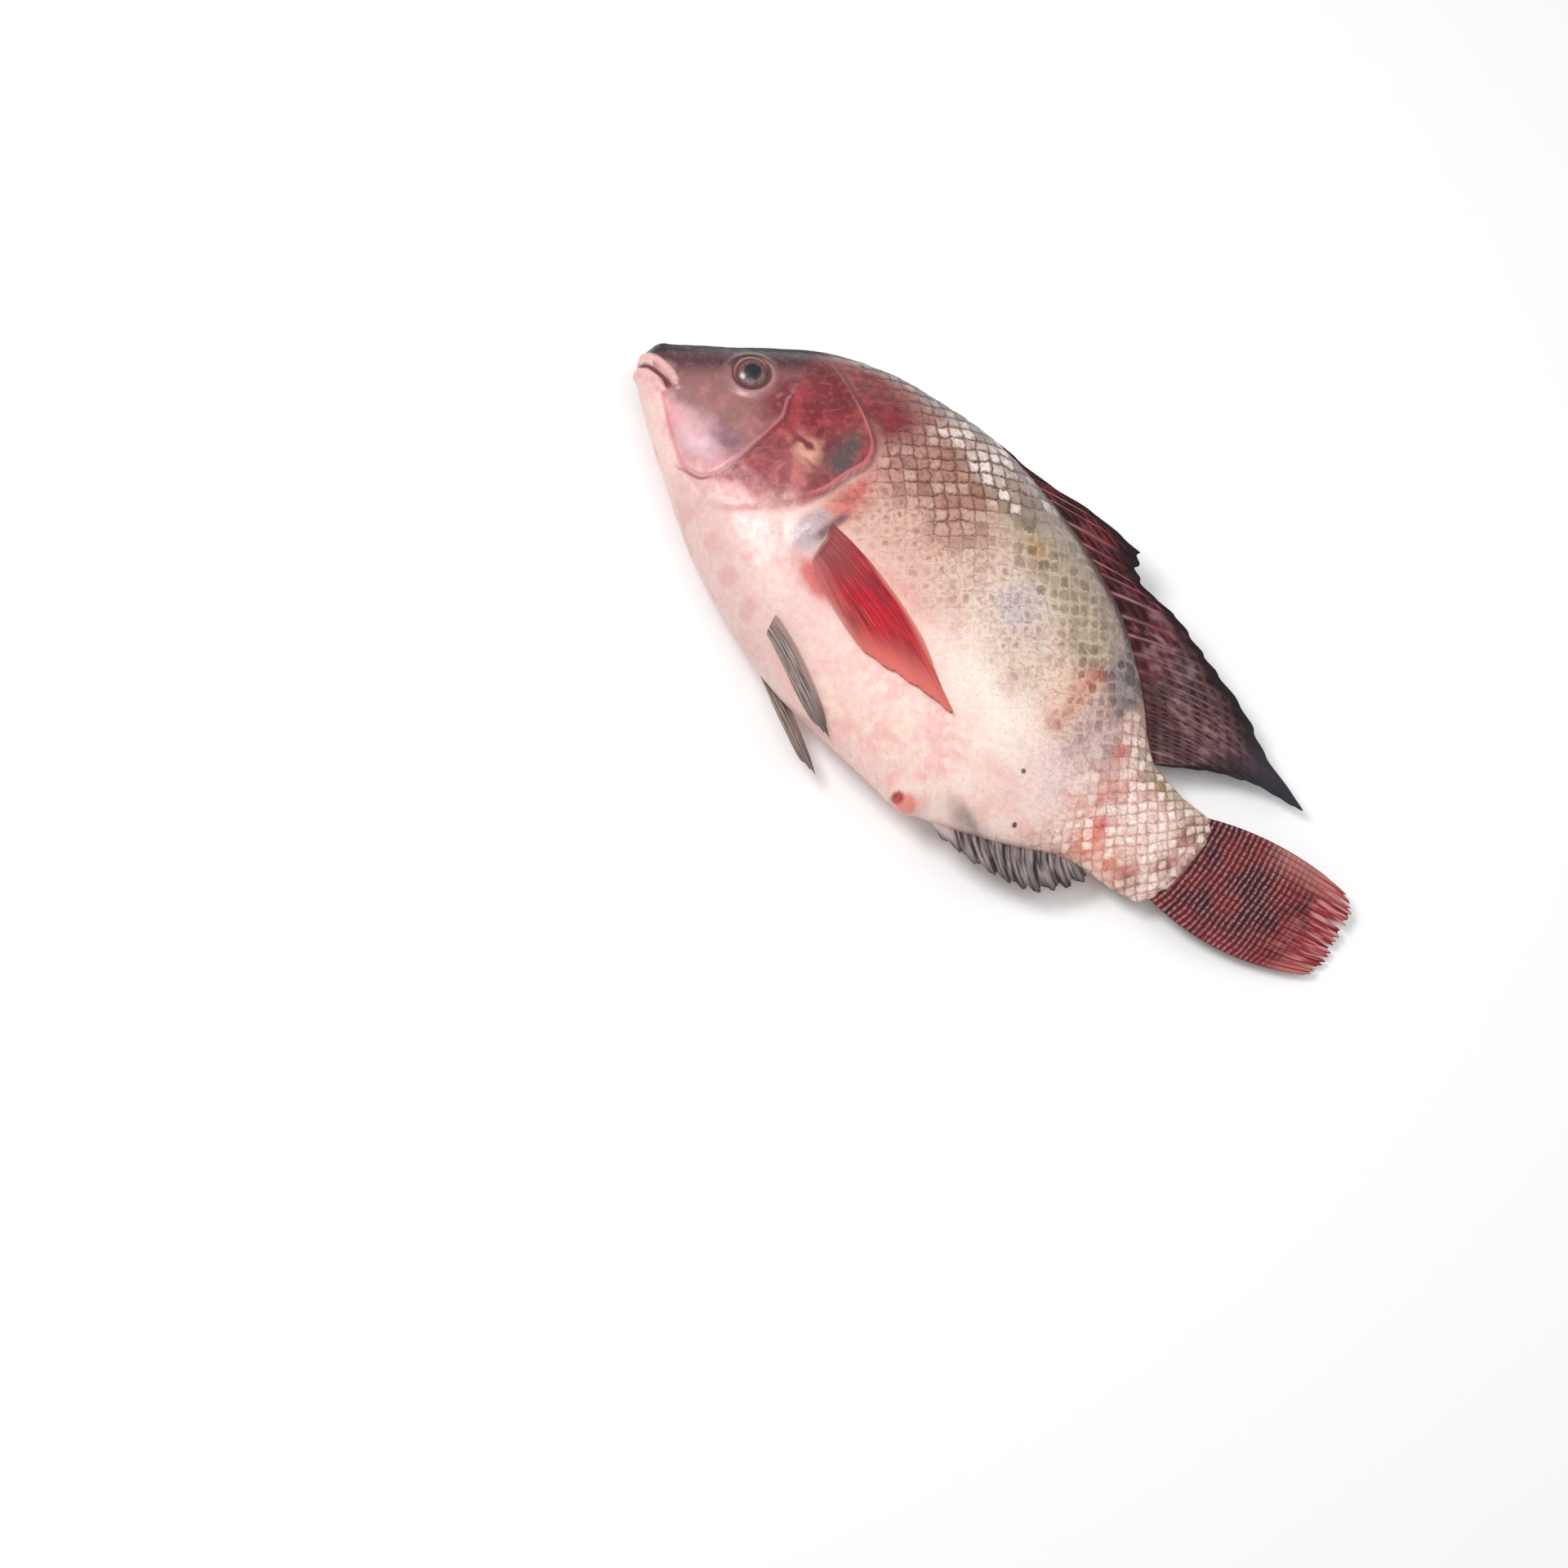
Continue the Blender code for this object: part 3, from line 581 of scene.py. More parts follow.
class Graph:
    """The nodes of one material."""

    def __init__(self, name):
        self.material = bpy.data.materials.new(name)
        self.material.use_nodes = True
        self.tree = self.material.node_tree
        self.shader = self.tree.nodes["Principled BSDF"]

    def node(self, kind, settings, sockets):
        """Adds a node: its settings first, then the values or links of its sockets, by name or place."""
        made = self.tree.nodes.new(kind)
        for key, value in settings.items():
            setattr(made, key, value)
        for key, value in sockets.items():
            self.feed(made.inputs[key], value)
        return made

    def feed(self, socket, value):
        """Links a socket to a value's node, or sets it to a plain value."""
        value = getattr(value, "socket", value)
        if isinstance(value, bpy.types.NodeSocket):
            self.tree.links.new(value, socket)
        else:
            socket.default_value = value

    def math(self, operation, *parts):
        made = self.node("ShaderNodeMath", {"operation": operation}, dict(enumerate(parts)))
        return Value(self, made.outputs[0])

    def attribute(self, name):
        """A piece's own stored vector or colour, as a socket."""
        return self.node("ShaderNodeAttribute", {"attribute_name": name}, {}).outputs["Vector"]

    def parts(self, vector):
        """The three numbers of a vector."""
        made = self.node("ShaderNodeSeparateXYZ", {}, {0: vector})
        return [Value(self, made.outputs[k]) for k in range(3)]

    def joined(self, *parts):
        return self.node("ShaderNodeCombineXYZ", {}, dict(enumerate(parts))).outputs[0]

    def step(self, value, low, high):
        """0 below low and 1 above high, or the other way round where low is the larger."""
        made = self.node("ShaderNodeMapRange", {"interpolation_type": "SMOOTHSTEP"},
                         {"Value": value, "From Min": low, "From Max": high})
        return Value(self, made.outputs[0])

    def spots(self, vector, scale, detail=2.0, distortion=0.0):
        made = self.node("ShaderNodeTexNoise", {"noise_dimensions": "3D"},
                         {"Vector": vector, "Scale": scale, "Detail": detail, "Distortion": distortion})
        return Value(self, made.outputs[0])

    def random(self, vector):
        """A random number from 0 to 1 for each vector."""
        made = self.node("ShaderNodeTexWhiteNoise", {"noise_dimensions": "3D"}, {"Vector": vector})
        return Value(self, made.outputs[0])

    def mix(self, factor, first, second, blend="MIX"):
        """A colour between two, as a socket."""
        made = self.node("ShaderNodeMix", {"data_type": "RGBA", "blend_type": blend},
                         {0: factor, 6: hue(first), 7: hue(second)})
        return made.outputs[2]

    def over(self, colour, *layers):
        """A colour with layers over it in turn: how strongly each shows, its tone, and how it blends."""
        for factor, tone, *blend in layers:
            colour = self.mix(factor, colour, srgb(*tone), *blend)
        return colour

    def streaks(self, across, along, detail):
        """Noise drawn out along a fin's rays."""
        return self.spots(self.joined(across, along, 0.0), 1.0, detail)

    def bump(self, height, metres, strength=1.0):
        """A normal from a height of 0 to 1 that stands for so many metres."""
        made = self.node("ShaderNodeBump", {}, {"Strength": strength, "Distance": metres, "Height": height})
        return made.outputs[0]

    def place(self):
        """The point on the piece, in millimetres of the fish's plane."""
        here = self.node("ShaderNodeTexCoord", {}, {}).outputs["Object"]
        scaled = self.node("ShaderNodeVectorMath", {"operation": "SCALE"}, {0: here, "Scale": 1 / MM})
        return self.node("ShaderNodeVectorMath", {"operation": "ADD"},
                         {0: scaled.outputs[0], 1: (ORIGIN_X, ORIGIN_Y, 0)}).outputs[0]

    def set(self, **values):
        """Sets the shader's own sockets, named with _ for a space."""
        for key, value in values.items():
            self.feed(self.shader.inputs[key.replace("_", " ")], hue(value) if "Color" in key else value)


def hue(value):
    """A colour as a socket takes it."""
    return (*value, 1.0) if isinstance(value, (tuple, np.ndarray)) and len(value) == 3 else value


def skin_material():
    """Wet skin: painted colours, the scales' net, blood mottling and veins, the head's fine lines, specks."""
    g = Graph("wet_skin")
    place = g.place()
    x, y, z = g.parts(place)
    s, t, scales = g.parts(g.attribute("lattice"))
    size, outline, painted_glint_and_coat = g.parts(g.attribute("look"))
    red, speckle, veins = g.parts(g.attribute("zones"))
    gill, cheek, mouth = g.parts(g.attribute("head_lines"))
    upper, lower, jaw = g.parts(g.attribute("lip_lines"))

    # The scale on top, ragged: how far along it the point is, how far from its middle line, and its number
    grain = g.spots(place, 1.1, 3.0)
    soft = g.spots(place, 0.45, 3.0)
    s = s + 0.34 * (g.spots(place, 0.8, 2.0) - 0.5)
    t = t + 0.34 * (grain - 0.5)
    row = g.math("FLOOR", t)
    rises, numbers = [], []
    for near in (0, 1):
        this = row + near
        off = abs(t - this)
        odd = g.math("FLOORED_MODULO", this, 2.0)
        phase = s - 0.5 * odd - EDGE_BULGE * (1 - off ** EDGE_POWER)
        whole = g.math("FLOOR", phase)
        rises.append(phase - whole)
        numbers.append((whole, this))
    second = g.math("GREATER_THAN", rises[1], rises[0])
    rise = g.math("MAXIMUM", rises[0], rises[1])
    whole, this = [a + second * (b - a) for a, b in zip(*numbers)]
    chance = g.random(g.joined(whole, this, 0.5))
    side = abs(t - this)

    # Each scale's middle in its own colour, over the net's; the scale is a rounded diamond about rise 0.5
    from_middle = 2.1 * abs(rise - 0.5 - EDGE_BULGE * side ** EDGE_POWER)
    away = (from_middle ** 1.4 + side ** 1.4) ** 0.714
    away = away + 0.5 * (grain - 0.5) + 0.3 * (soft - 0.5) + 0.3 * (chance - 0.5)
    middle = g.step(away - size, 0.2, -0.2) * (0.35 + 0.65 * g.random(g.joined(this, whole, 4.5)))
    middle = middle * (0.4 + 0.6 * g.step(g.spots(place, 0.22, 2.0) + 0.3 * size, 0.45, 0.7))
    # Painted white highlights on a random share of the scales, near their middles
    painted_glint = g.step(chance + 0.6 * (soft - 0.5), 0.4, 0.85) * g.step(away, 1.1, 0.5)
    # Dark margin along each scale's rear edge: partly the scales' own dark outlines, partly painted shadow in
    # the gap under the edge
    edge = g.step(rise, 0.82 - 0.08 * outline, 0.97)
    edge = edge * g.step(g.spots(place, 0.3, 2.0) + 0.2 * outline, 0.38, 0.62)
    blots = g.step(g.spots(place, 0.55, 3.0, 0.5), 0.48, 0.62)
    colour = g.over(
        g.mix(middle * scales, g.attribute("rim"), g.attribute("core")),
        (0.8 * painted_glint_and_coat * painted_glint * scales, (255, 246, 238)),
        (0.3 * outline * g.step(chance, 0.5, 0.0) * scales, (160, 118, 104), "MULTIPLY"),
        (scales * edge * (0.06 + 0.62 * outline), (112, 74, 62), "MULTIPLY"),
        (0.5 * blots * scales * g.step(outline + size, 0.3, 0.6), (206, 170, 152), "MULTIPLY"))

    # Mottling and veins
    clots = g.step(g.spots(place, 0.17, 3.0, 0.8), 0.44, 0.6)
    smears = g.step(g.spots(place, 0.22, 2.0, 1.0), 0.5, 0.68)
    web = g.step(abs(g.spots(place, 0.07, 1.5, 0.9) - 0.5), 0.03, 0.0)
    web = web * g.step(g.spots(place, 0.09, 1.0), 0.45, 0.6)
    colour = g.over(
        colour,
        (0.55 * red * clots, (114, 20, 38)),
        (0.5 * red * smears, (176, 76, 84)),
        (0.4 * veins * web, (222, 140, 134)),
        (0.4 * speckle * g.step(grain, 0.52, 0.7), (104, 62, 70)),
        (0.14 * speckle * g.step(soft, 0.46, 0.34), (196, 146, 146)),
        (0.35 * g.step(soft, 0.35, 0.65), (246, 214, 204), "MULTIPLY"))

    # The head's lines
    # Painted shadow: a dark band just behind the gill cover's edge, where the cover overhangs the body
    gill_edge_shadow = g.step(gill, -0.1, 0.4) * g.step(gill, 2.4, 0.5) * g.step(y, -6.0, 6.0)
    membrane = g.step(abs(gill + 0.9), 1.0, 0.3) * g.step(y, -8.0, 4.0) * g.step(y, 40.0, 32.0)
    # Painted shade: a dark line in the crease along the cheek's edge
    shade = g.step(abs(cheek - 0.2), 0.9, 0.1) * g.step(y, 23.0, 17.0) * g.step(x, 30.0, 40.0)
    lips = g.math("MAXIMUM", g.step(abs(upper), 1.8, 0.6), g.step(abs(lower), 1.6, 0.8))
    colour = g.over(
        colour,
        (0.6 * gill_edge_shadow, (96, 40, 42)),
        (0.7 * membrane, (206, 112, 112)),
        (0.65 * shade, (96, 34, 46)),
        (0.5 * g.step(abs(cheek + 1.2), 0.8, 0.2) * g.step(x, 30.0, 40.0), (196, 124, 126)),
        (0.5 * g.step(abs(jaw), 1.1, 0.2) * g.step(x, 44.0, 36.0), (206, 98, 108)),
        (0.95 * lips * g.step(x, 16.0, 13.0), (226, 176, 174)),
        (0.4 * lips * g.step(soft, 0.46, 0.64), (204, 136, 140)),
        # Painted shade: the mouth's slit darkened, where the gap between the lips lies in shade
        (0.9 * g.step(abs(mouth), 0.9, 0.3) * g.step(x, 14.0, 11.5), (118, 44, 58)))

    # The eye's surroundings
    from_eye = g.math("SQRT", (x - EYE_CENTRE[0]) ** 2.0 + (y - EYE_CENTRE[1]) ** 2.0)
    from_eye = from_eye + 0.8 * (soft - 0.5)
    colour = g.over(
        colour,
        (0.5 * g.step(from_eye, 9.6, 7.6) * g.step(y - x, -8.0, -14.0), (160, 120, 128)),
        (0.45 * g.step(abs(from_eye - 7.3), 0.8, 0.2) * g.step(x, 26.0, 33.0), (196, 128, 108)),
        (0.8 * g.step(from_eye, 7.0, 6.2), (74, 40, 46)))

    # The nostril, two dark specks, and the vent's spots, which end in height too
    for cx, cy, reach, part, tone in ((*NOSTRIL, 1.0, 0.85, (52, 30, 36)),
                                      (185.7, -18.0, 1.1, 0.9, (96, 44, 20)),
                                      (195.3, -31.4, 1.1, 0.9, (40, 24, 20)),
                                      (164.5, -51.3, 4.6, 0.8, (226, 120, 104)),
                                      (161.0, -51.2, 2.8, 0.95, (176, 34, 36)),
                                      (160.2, -51.0, 1.1, 0.9, (96, 8, 12))):
        gap = (x - cx) ** 2.0 + (y - cy) ** 2.0
        if cy < -50:
            gap = gap + (0.5 * (z - VENT_LEVEL)) ** 2.0
        colour = g.over(colour, (part * g.step(g.math("SQRT", gap), reach, 0.5 * reach), tone))

    # The pectoral fin's fleshy root
    lobe = g.math("SQRT", ((x - 82.0) * 1.3) ** 2.0 + ((y + 9.5) * 0.85) ** 2.0) + 3.0 * (soft - 0.5)
    beside = g.step(abs(x - 86.8 - 0.15 * y), 2.6, 0.4) * g.step(abs(y + 4.0), 9.0, 4.0)
    colour = g.over(
        colour,
        (0.8 * g.step(lobe, 9.0, 4.5), (178, 156, 164)),
        (0.4 * g.step(lobe, 8.0, 4.0) * g.step(grain, 0.5, 0.65), (136, 116, 130)),
        (0.8 * beside, (104, 54, 64)))

    height = scales * (0.8 * rise * g.step(rise, 1.0, 0.94)) + 0.16 * grain + 0.14 * soft
    dull = g.step(y - 0.83 * x, 6.5, 11.0) * g.step(x, 62.0, 46.0)
    g.set(Base_Color=colour, Roughness=0.26 + 0.3 * soft + 0.35 * dull, Normal=g.bump(height, 0.0006, 0.6),
          Coat_Weight=(0.2 + 0.25 * painted_glint_and_coat) * (1 - dull), Coat_Roughness=0.14, Specular_IOR_Level=0.5)
    return g.material


def capped(rows, first, last):
    """Rows of points as one list, between a first and a last point."""
    return np.concatenate([first, rows.reshape(-1, 3), last])


def capped_faces(rows, around):
    """Faces over closed rows of points, with a fan to the point at each end."""
    index = 1 + np.arange(rows * around).reshape(rows, around)
    after = np.roll(index, -1, 1)
    quads = np.stack([index[:-1], index[1:], after[1:], after[:-1]], -1).reshape(-1, 4)
    first = np.stack([np.zeros(around, int), index[0], after[0]], -1)
    last = np.stack([np.full(around, rows * around + 1), after[-1], index[-1]], -1)
    return [*quads.tolist(), *first.tolist(), *last.tolist()]


def make_skin():
    """The body's skin: rings round the fish, each point moved out by relief, scales and fine bumps."""
    xs = line(RING_PLACES, np.linspace(0, 1, RINGS + 1)[1:-1])
    sides = []
    for steps, sign in ((LEFT_STEPS, 1), (RIGHT_STEPS, -1)):
        ring = rings_of(xs, steps)
        bare, way = ring[..., :3], ring[..., 3]
        s, t = lattice(bare[..., 0], way)
        signed = bare * (1, 1, sign)
        s = s + wobble(signed, (0.4, 18, 5), (0.3, 3.4, 9))
        t = t + wobble(signed, (0.5, 24, 6), (0.3, 3.4, 10))
        show = scaly(bare[..., 0], bare[..., 1])
        rise = scale_rise(s, t)
        bump = np.where(rise < 0.86, rise / 0.86, (1 - rise) / 0.14)
        lift = relief(bare[..., 0], bare[..., 1]) + SCALE_RELIEF * show * bump
        lift = lift + wobble(signed, (0.6, 14, 7), (0.16, 3, 8))
        normal = np.cross(np.gradient(bare, axis=1), np.gradient(bare, axis=0))
        normal[:, [0, -1], 2] = 0
        normal /= np.linalg.norm(normal, axis=-1, keepdims=True) + 1e-12
        moved = bare + normal * lift[..., None]
        moved[..., 0] += 0.9 * ease(bare[..., 0], 240, 247) * np.cos(np.pi * t)
        moved[..., :2] = np.maximum(moved[..., :2], (SNOUT_X, -np.inf))
        moved[..., 2] = np.maximum(moved[..., 2], 0)
        moved = moved * (1, 1, sign)
        sides.append((moved, signed, np.stack([s, t, show], -1)))
    moved, plain, grid = [np.concatenate([left, right[:, -2:0:-1]], 1) for left, right in zip(*sides)]
    ends = [np.array([[x, section(np.array(x))[2], 0.0]]) for x in (SNOUT_X, BODY_END_X)]
    faces = capped_faces(*moved.shape[:2])
    skin = put_mesh("skin", settle(capped(moved, *ends)), faces, skin_material())
    put_attribute(skin, "lattice", capped(grid, np.zeros((1, 3)), np.zeros((1, 3))))
    plain = capped(plain, *ends)
    for name, values in paint(plain).items():
        put_attribute(skin, name, np.clip(values, 0, 1))
    for name, curves in (("head_lines", (GILL_EDGE, CHEEK_EDGE, MOUTH_SLIT)),
                         ("lip_lines", (UPPER_LIP, LOWER_LIP, JAW_CREASE))):
        gaps = [distance(curve, plain[:, 0], plain[:, 1]) for curve in curves]
        put_attribute(skin, name, np.stack(gaps, -1))
    finish_piece(skin)


def eye_material():
    """A blue-black pupil in a wine brown iris, a dark rim and a thin orange ring, under a wet cornea."""
    g = Graph("wet_eye")
    place = g.place()
    x, y = g.parts(place)[:2]
    away = g.math("SQRT", (1.08 * (x - EYE_CENTRE[0])) ** 2.0 + (y - EYE_CENTRE[1]) ** 2.0)
    away = away + 0.7 * (g.spots(place, 0.5, 2.0) - 0.5)
    streaks = g.spots(place, 1.6, 3.0, 0.6)
    colour = g.over(
        g.mix(g.step(streaks, 0.35, 0.7), srgb(84, 50, 56), srgb(132, 84, 84)),
        (0.8 * g.step(away, 4.6, 5.0), (74, 40, 48)),
        (0.45 * g.step(away, 5.3, 5.8), (166, 104, 88)),
        (g.step(away, 3.4, 2.9), (26, 27, 36)))
    g.set(Base_Color=colour, Roughness=0.3, Coat_Weight=0.35, Coat_Roughness=0.12)
    return g.material


def make_eyes():
    """Each eye is an oval dome: circles of points from its middle out and over the edge, closed behind."""
    material = eye_material()
    tilt = np.linspace(0, np.pi, EYE_RINGS + 2)[1:-1, None]
    turn = np.linspace(0, 2 * np.pi, EYE_STEPS, endpoint=False)[None, :]
    out = float(half_thickness(*np.array(EYE_CENTRE))) - EYE_SINK
    for name, sign in (("eye_left", 1), ("eye_right", -1)):
        dome = np.stack([EYE_CENTRE[0] + EYE_RADIUS * np.sin(tilt) * np.cos(turn),
                         EYE_CENTRE[1] + EYE_RADIUS * np.sin(tilt) * np.sin(turn),
                         sign * (out + EYE_BULGE * np.cos(tilt) + 0 * turn)], -1)
        ends = [np.array([[*EYE_CENTRE, sign * (out + way * EYE_BULGE)]]) for way in (1, -1)]
        faces = [face[::sign] for face in capped_faces(EYE_RINGS, EYE_STEPS)]
        finish_piece(put_mesh(name, settle(capped(dome, *ends)), faces, material))


def fin_sheet(guides, rays, steps, height_at, fray, thickness, branches=1, slits=0.0):
    """A fin's middle sheet, half its thickness, and each point's ray number, share of its ray and way out.

    Points run along curved rays between the guide rays.  The sheet is thick along each ray and thin between
    them, the rays split towards the tip, and the membrane ends short of the ray tips by fray.  slits cuts the
    edge deeper between a few bundles of rays.
    """
    across = np.linspace(0, 1, steps[0] + 1)[:, None]
    along = np.linspace(0, 1, steps[1] + 1)[None, :]
    x0, y0, x1, y1, bow = np.moveaxis(between(guides, across[:, 0]), -1, 0)[:, :, None]
    reach = np.hypot(x1 - x0, y1 - y0)
    single = 0.5 - 0.5 * np.cos(2 * np.pi * across * rays)
    split = 0.5 - 0.5 * np.cos(2 * np.pi * across * rays * branches)
    ray = single + (split - single) * ease(along, 0.35, 0.7)
    ragged = 0.5 * np.sin(across * 61 + 3) + 0.5 * np.sin(across * 149)
    bundle = 0.5 + 0.5 * np.cos(2 * np.pi * across * rays / 3 + 1.3 * np.sin(9 * across))
    short = fray * (1.1 - single + 0.45 * ragged) + slits * bundle ** 24
    short = np.minimum(short, 0.3 * reach) / reach
    way = along * (1 - np.clip(short, 0, 1))
    side = 4 * way * (1 - way) * bow / reach
    x = x0 + (x1 - x0) * way - (y1 - y0) * side
    y = y0 + (y1 - y0) * way + (x1 - x0) * side
    z = height_at(x, y, way, across)
    thick = thickness * (0.6 + (0.7 * ray ** 1.5 - 0.3) * ease(along, 0.04, 0.2)) * (1 - 0.6 * way)
    edge = np.minimum(1, 8 * np.minimum(across, 1 - across)) ** 0.5 * np.minimum(1, 14 * (1 - along)) ** 0.5
    half = 0.5 * thick * np.where(along == 0, 0, edge)
    fan = np.stack(np.broadcast_arrays(across * rays, way, way * reach), -1)
    return np.stack([x, y, z], -1), half, fan


def make_fin(name, sheet, material):
    """Builds both faces of a fin from its middle sheet; outline points are shared, so the piece is closed."""
    middle, half, fan = sheet
    upper, lower = middle.copy(), middle.copy()
    upper[..., 2] += half
    lower[..., 2] -= half
    lowest = np.maximum(LOWEST_FIN - lower[..., 2], 0)
    upper[..., 2] += lowest
    lower[..., 2] += lowest
    n, m = half.shape
    front = np.arange(n * m).reshape(n, m)
    back = front.copy()
    back[1:-1, 1:-1] = n * m + np.arange((n - 2) * (m - 2)).reshape(n - 2, m - 2)
    points = np.concatenate([upper.reshape(-1, 3), lower[1:-1, 1:-1].reshape(-1, 3)])
    quads = [np.stack([grid[:-1, :-1], grid[1:, :-1], grid[1:, 1:], grid[:-1, 1:]], -1).reshape(-1, 4)
             for grid in (front, back)]
    start = middle[n // 2, m // 2]
    across = middle[n // 2 + 1, m // 2] - start
    along = middle[n // 2, m // 2 + 1] - start
    facing_down = 1 if np.cross(across, along)[2] > 0 else 0
    quads[facing_down] = quads[facing_down][:, ::-1]
    piece = put_mesh(name, points, np.concatenate(quads).tolist(), material)
    fans = np.concatenate([fan.reshape(-1, 3), fan[1:-1, 1:-1].reshape(-1, 3)])
    put_attribute(piece, "fan", fans)
    finish_piece(piece)


def upright(wave, ripple):
    """A fin in the middle plane, with a slow wave that grows away from the body."""
    def height(x, y, along, across):
        slow = wave * along * np.sin(5.5 * across + 0.6)
        return middle_height(x) + slow + ripple * along * np.sin(31 * across + 4 * along)
    return height


def on_flank(side):
    """A fin lying back on the flank, just clear of the scales and of the fleshy lobe at its root."""
    def height(x, y, along, across):
        lift = 0.75 + 0.8 * along - 2.0 * (1 - along) ** 16 + 0.25 * np.sin(17 * across) * along
        lift = lift + 0.8 * np.clip(relief(x, y), 0, None)
        placed = settle(np.stack([x, y, side * (half_thickness(x, y) + lift)], -1))
        return np.maximum(placed[..., 2], LOWEST_FIN)
    return height


def over_belly(x, y, along, across):
    """The upper pelvic fin: it follows the belly at a small height, and runs level past the belly's edge."""
    over = half_thickness(x, y) + PELVIC_LIFT - PELVIC_ROOT_SINK * (1 - along) ** 8
    return middle_height(x) + 0.5 * (over + PELVIC_LEVEL + np.hypot(over - PELVIC_LEVEL, 3.0))


def under_belly(x, y, along, across):
    """The lower pelvic fin: it leaves the belly beside the keel and spreads from the middle plane."""
    return middle_height(x) - 7.5 - 3 * along + 1.5 * across


def fin_graph(name):
    """The start of a fin's material: its nodes, place, ray number, share of the ray, and way along it."""
    g = Graph(name)
    place = g.place()
    ray, share, way = g.parts(g.attribute("fan"))
    ridge = 0.5 - 0.5 * g.math("COSINE", 2 * np.pi * ray)
    return g, place, ray, share, way, ridge


def finish_fin(g, colour, place, ridge):
    """The end of a fin's material: its gloss, and bumps along its rays."""
    wet = g.spots(place, 0.8, 2.0)
    height = 0.6 * ridge + 0.3 * g.spots(place, 2.5, 2.0)
    g.set(Base_Color=colour, Roughness=0.4 + 0.2 * wet, Normal=g.bump(height, 0.0004, 0.7), Coat_Weight=0.04,
          Coat_Roughness=0.2, Specular_IOR_Level=0.12)
    return g.material


def tail_material():
    """Maroon, with pale bars across the rays, a salmon patch by the upper edge, and a frayed crimson end."""
    g, place, ray, share, way, ridge = fin_graph("tail_fin")
    waved = way + 1.6 * (g.spots(place, 0.11, 2.0) - 0.5) + 0.5 * (g.spots(place, 0.5, 1.0) - 0.5)
    bars = 0.5 + 0.5 * g.math("COSINE", np.pi * waved)
    patch = g.spots(place, 0.09, 2.0)
    grain = g.spots(place, 1.2, 2.0)
    streak = g.streaks(2.6 * ray, 0.12 * way, 1.0)
    tip = g.step(share + 0.4 * (patch - 0.5), 0.7, 0.94)
    salmon = (g.step(ray, 5.0, 1.0) * g.step(share, 0.4, 0.62) * g.step(share, 1.0, 0.85)
              + g.step(ray, 14.0, 15.5) * g.step(share, 0.72, 0.88))
    bar = g.step(bars, 0.4, 0.85) * (0.3 + 0.7 * g.step(grain, 0.35, 0.6)) * g.step(share, 0.92, 0.55)
    slit = g.step(abs(g.math("FRACT", ray / 3 + 0.2) - 0.5), 0.08, 0.02)
    colour = g.over(
        g.mix(g.step(patch, 0.38, 0.62), srgb(62, 24, 34), srgb(112, 30, 34)),
        (0.7 * g.step(share, 0.14, 0.0), (96, 20, 24)),
        (0.85 * tip, (160, 54, 62)),
        (0.7 * tip * g.step(streak, 0.42, 0.62), (224, 158, 156)),
        (0.6 * g.step(ray, 12.5, 16.0) * g.step(share, 0.2, 0.5), (132, 30, 38)),
        (0.6 * salmon, (200, 128, 118)),
        (0.75 * bar, (178, 138, 138)),
        (0.5 * g.step(ridge, 0.25, 0.05), (48, 14, 22)),
        (0.8 * tip * slit, (84, 10, 20)))
    return finish_fin(g, colour, place, ridge)


def dorsal_material():
    """Dark maroon cells between thin pale rays, with pale spots behind, and a black margin."""
    g, place, ray, share, way, ridge = fin_graph("dorsal_fin")
    x = g.parts(place)[0]
    patch = g.spots(place, 0.1, 2.0)
    grain = g.spots(place, 0.9, 2.0)
    rear = g.step(x, 182.0, 206.0)
    fine_ray = 0.5 - 0.5 * g.math("COSINE", 4 * np.pi * ray)
    cell = 0.5 - 0.5 * g.math("COSINE", (2 * np.pi / 4.2) * way + 3.0 * patch)
    dark = g.step(1 - ridge, 0.12, 0.45) * g.step(cell, 0.15, 0.5) * g.step(grain, 0.25, 0.45)
    dark_rear = g.step(1 - fine_ray, 0.3, 0.6) * g.step(cell, 0.3, 0.6) * g.step(grain, 0.3, 0.5)
    light = g.step(ridge, 0.9, 0.99) * (1 - rear) + 0.5 * rear * g.step(fine_ray, 0.85, 0.98)
    light = light * (0.3 + 0.7 * g.step(g.streaks(0.7 * ray, 0.06 * way, 2.0), 0.4, 0.6))
    streak = g.streaks(1.6 * ray, 0.16 * way, 3.0)
    pale = (0.2 + 0.8 * g.step(x, 165.0, 190.0)) * g.step(streak + 0.4 * (patch - 0.5), 0.45, 0.75)
    edge = share + 0.3 * (patch - 0.5) + 0.08 * ridge
    colour = g.over(
        g.mix(g.step(patch, 0.35, 0.65), srgb(70, 30, 33), srgb(108, 38, 44)),
        (0.7 * rear, (84, 60, 62)),
        (0.9 * dark * (1 - rear), (40, 10, 14)),
        (0.85 * dark_rear * rear, (38, 14, 20)),
        (0.5 * light * g.step(share, 0.95, 0.45), (188, 152, 150)),
        (0.6 * pale * g.step(share, 0.9, 0.6) * g.step(share, 0.1, 0.3), (158, 132, 134)),
        (0.5 * g.step(share, 0.3, 0.12) * g.step(1 - ridge, 0.3, 0.6), (44, 8, 12)),
        (0.9 * g.step(edge, 0.76, 0.92), (26, 20, 24)),
        (0.85 * g.step(x, 226.0, 248.0), (52, 50, 58)),
        (0.8 * g.step(ray, 22.2, 23.2) * g.step(share, 0.7, 0.3), (30, 8, 12)),
        (0.8 * g.step(way, 1.9, 1.2) * g.step(x, 140.0, 156.0), (190, 168, 160)))
    return finish_fin(g, colour, place, ridge)


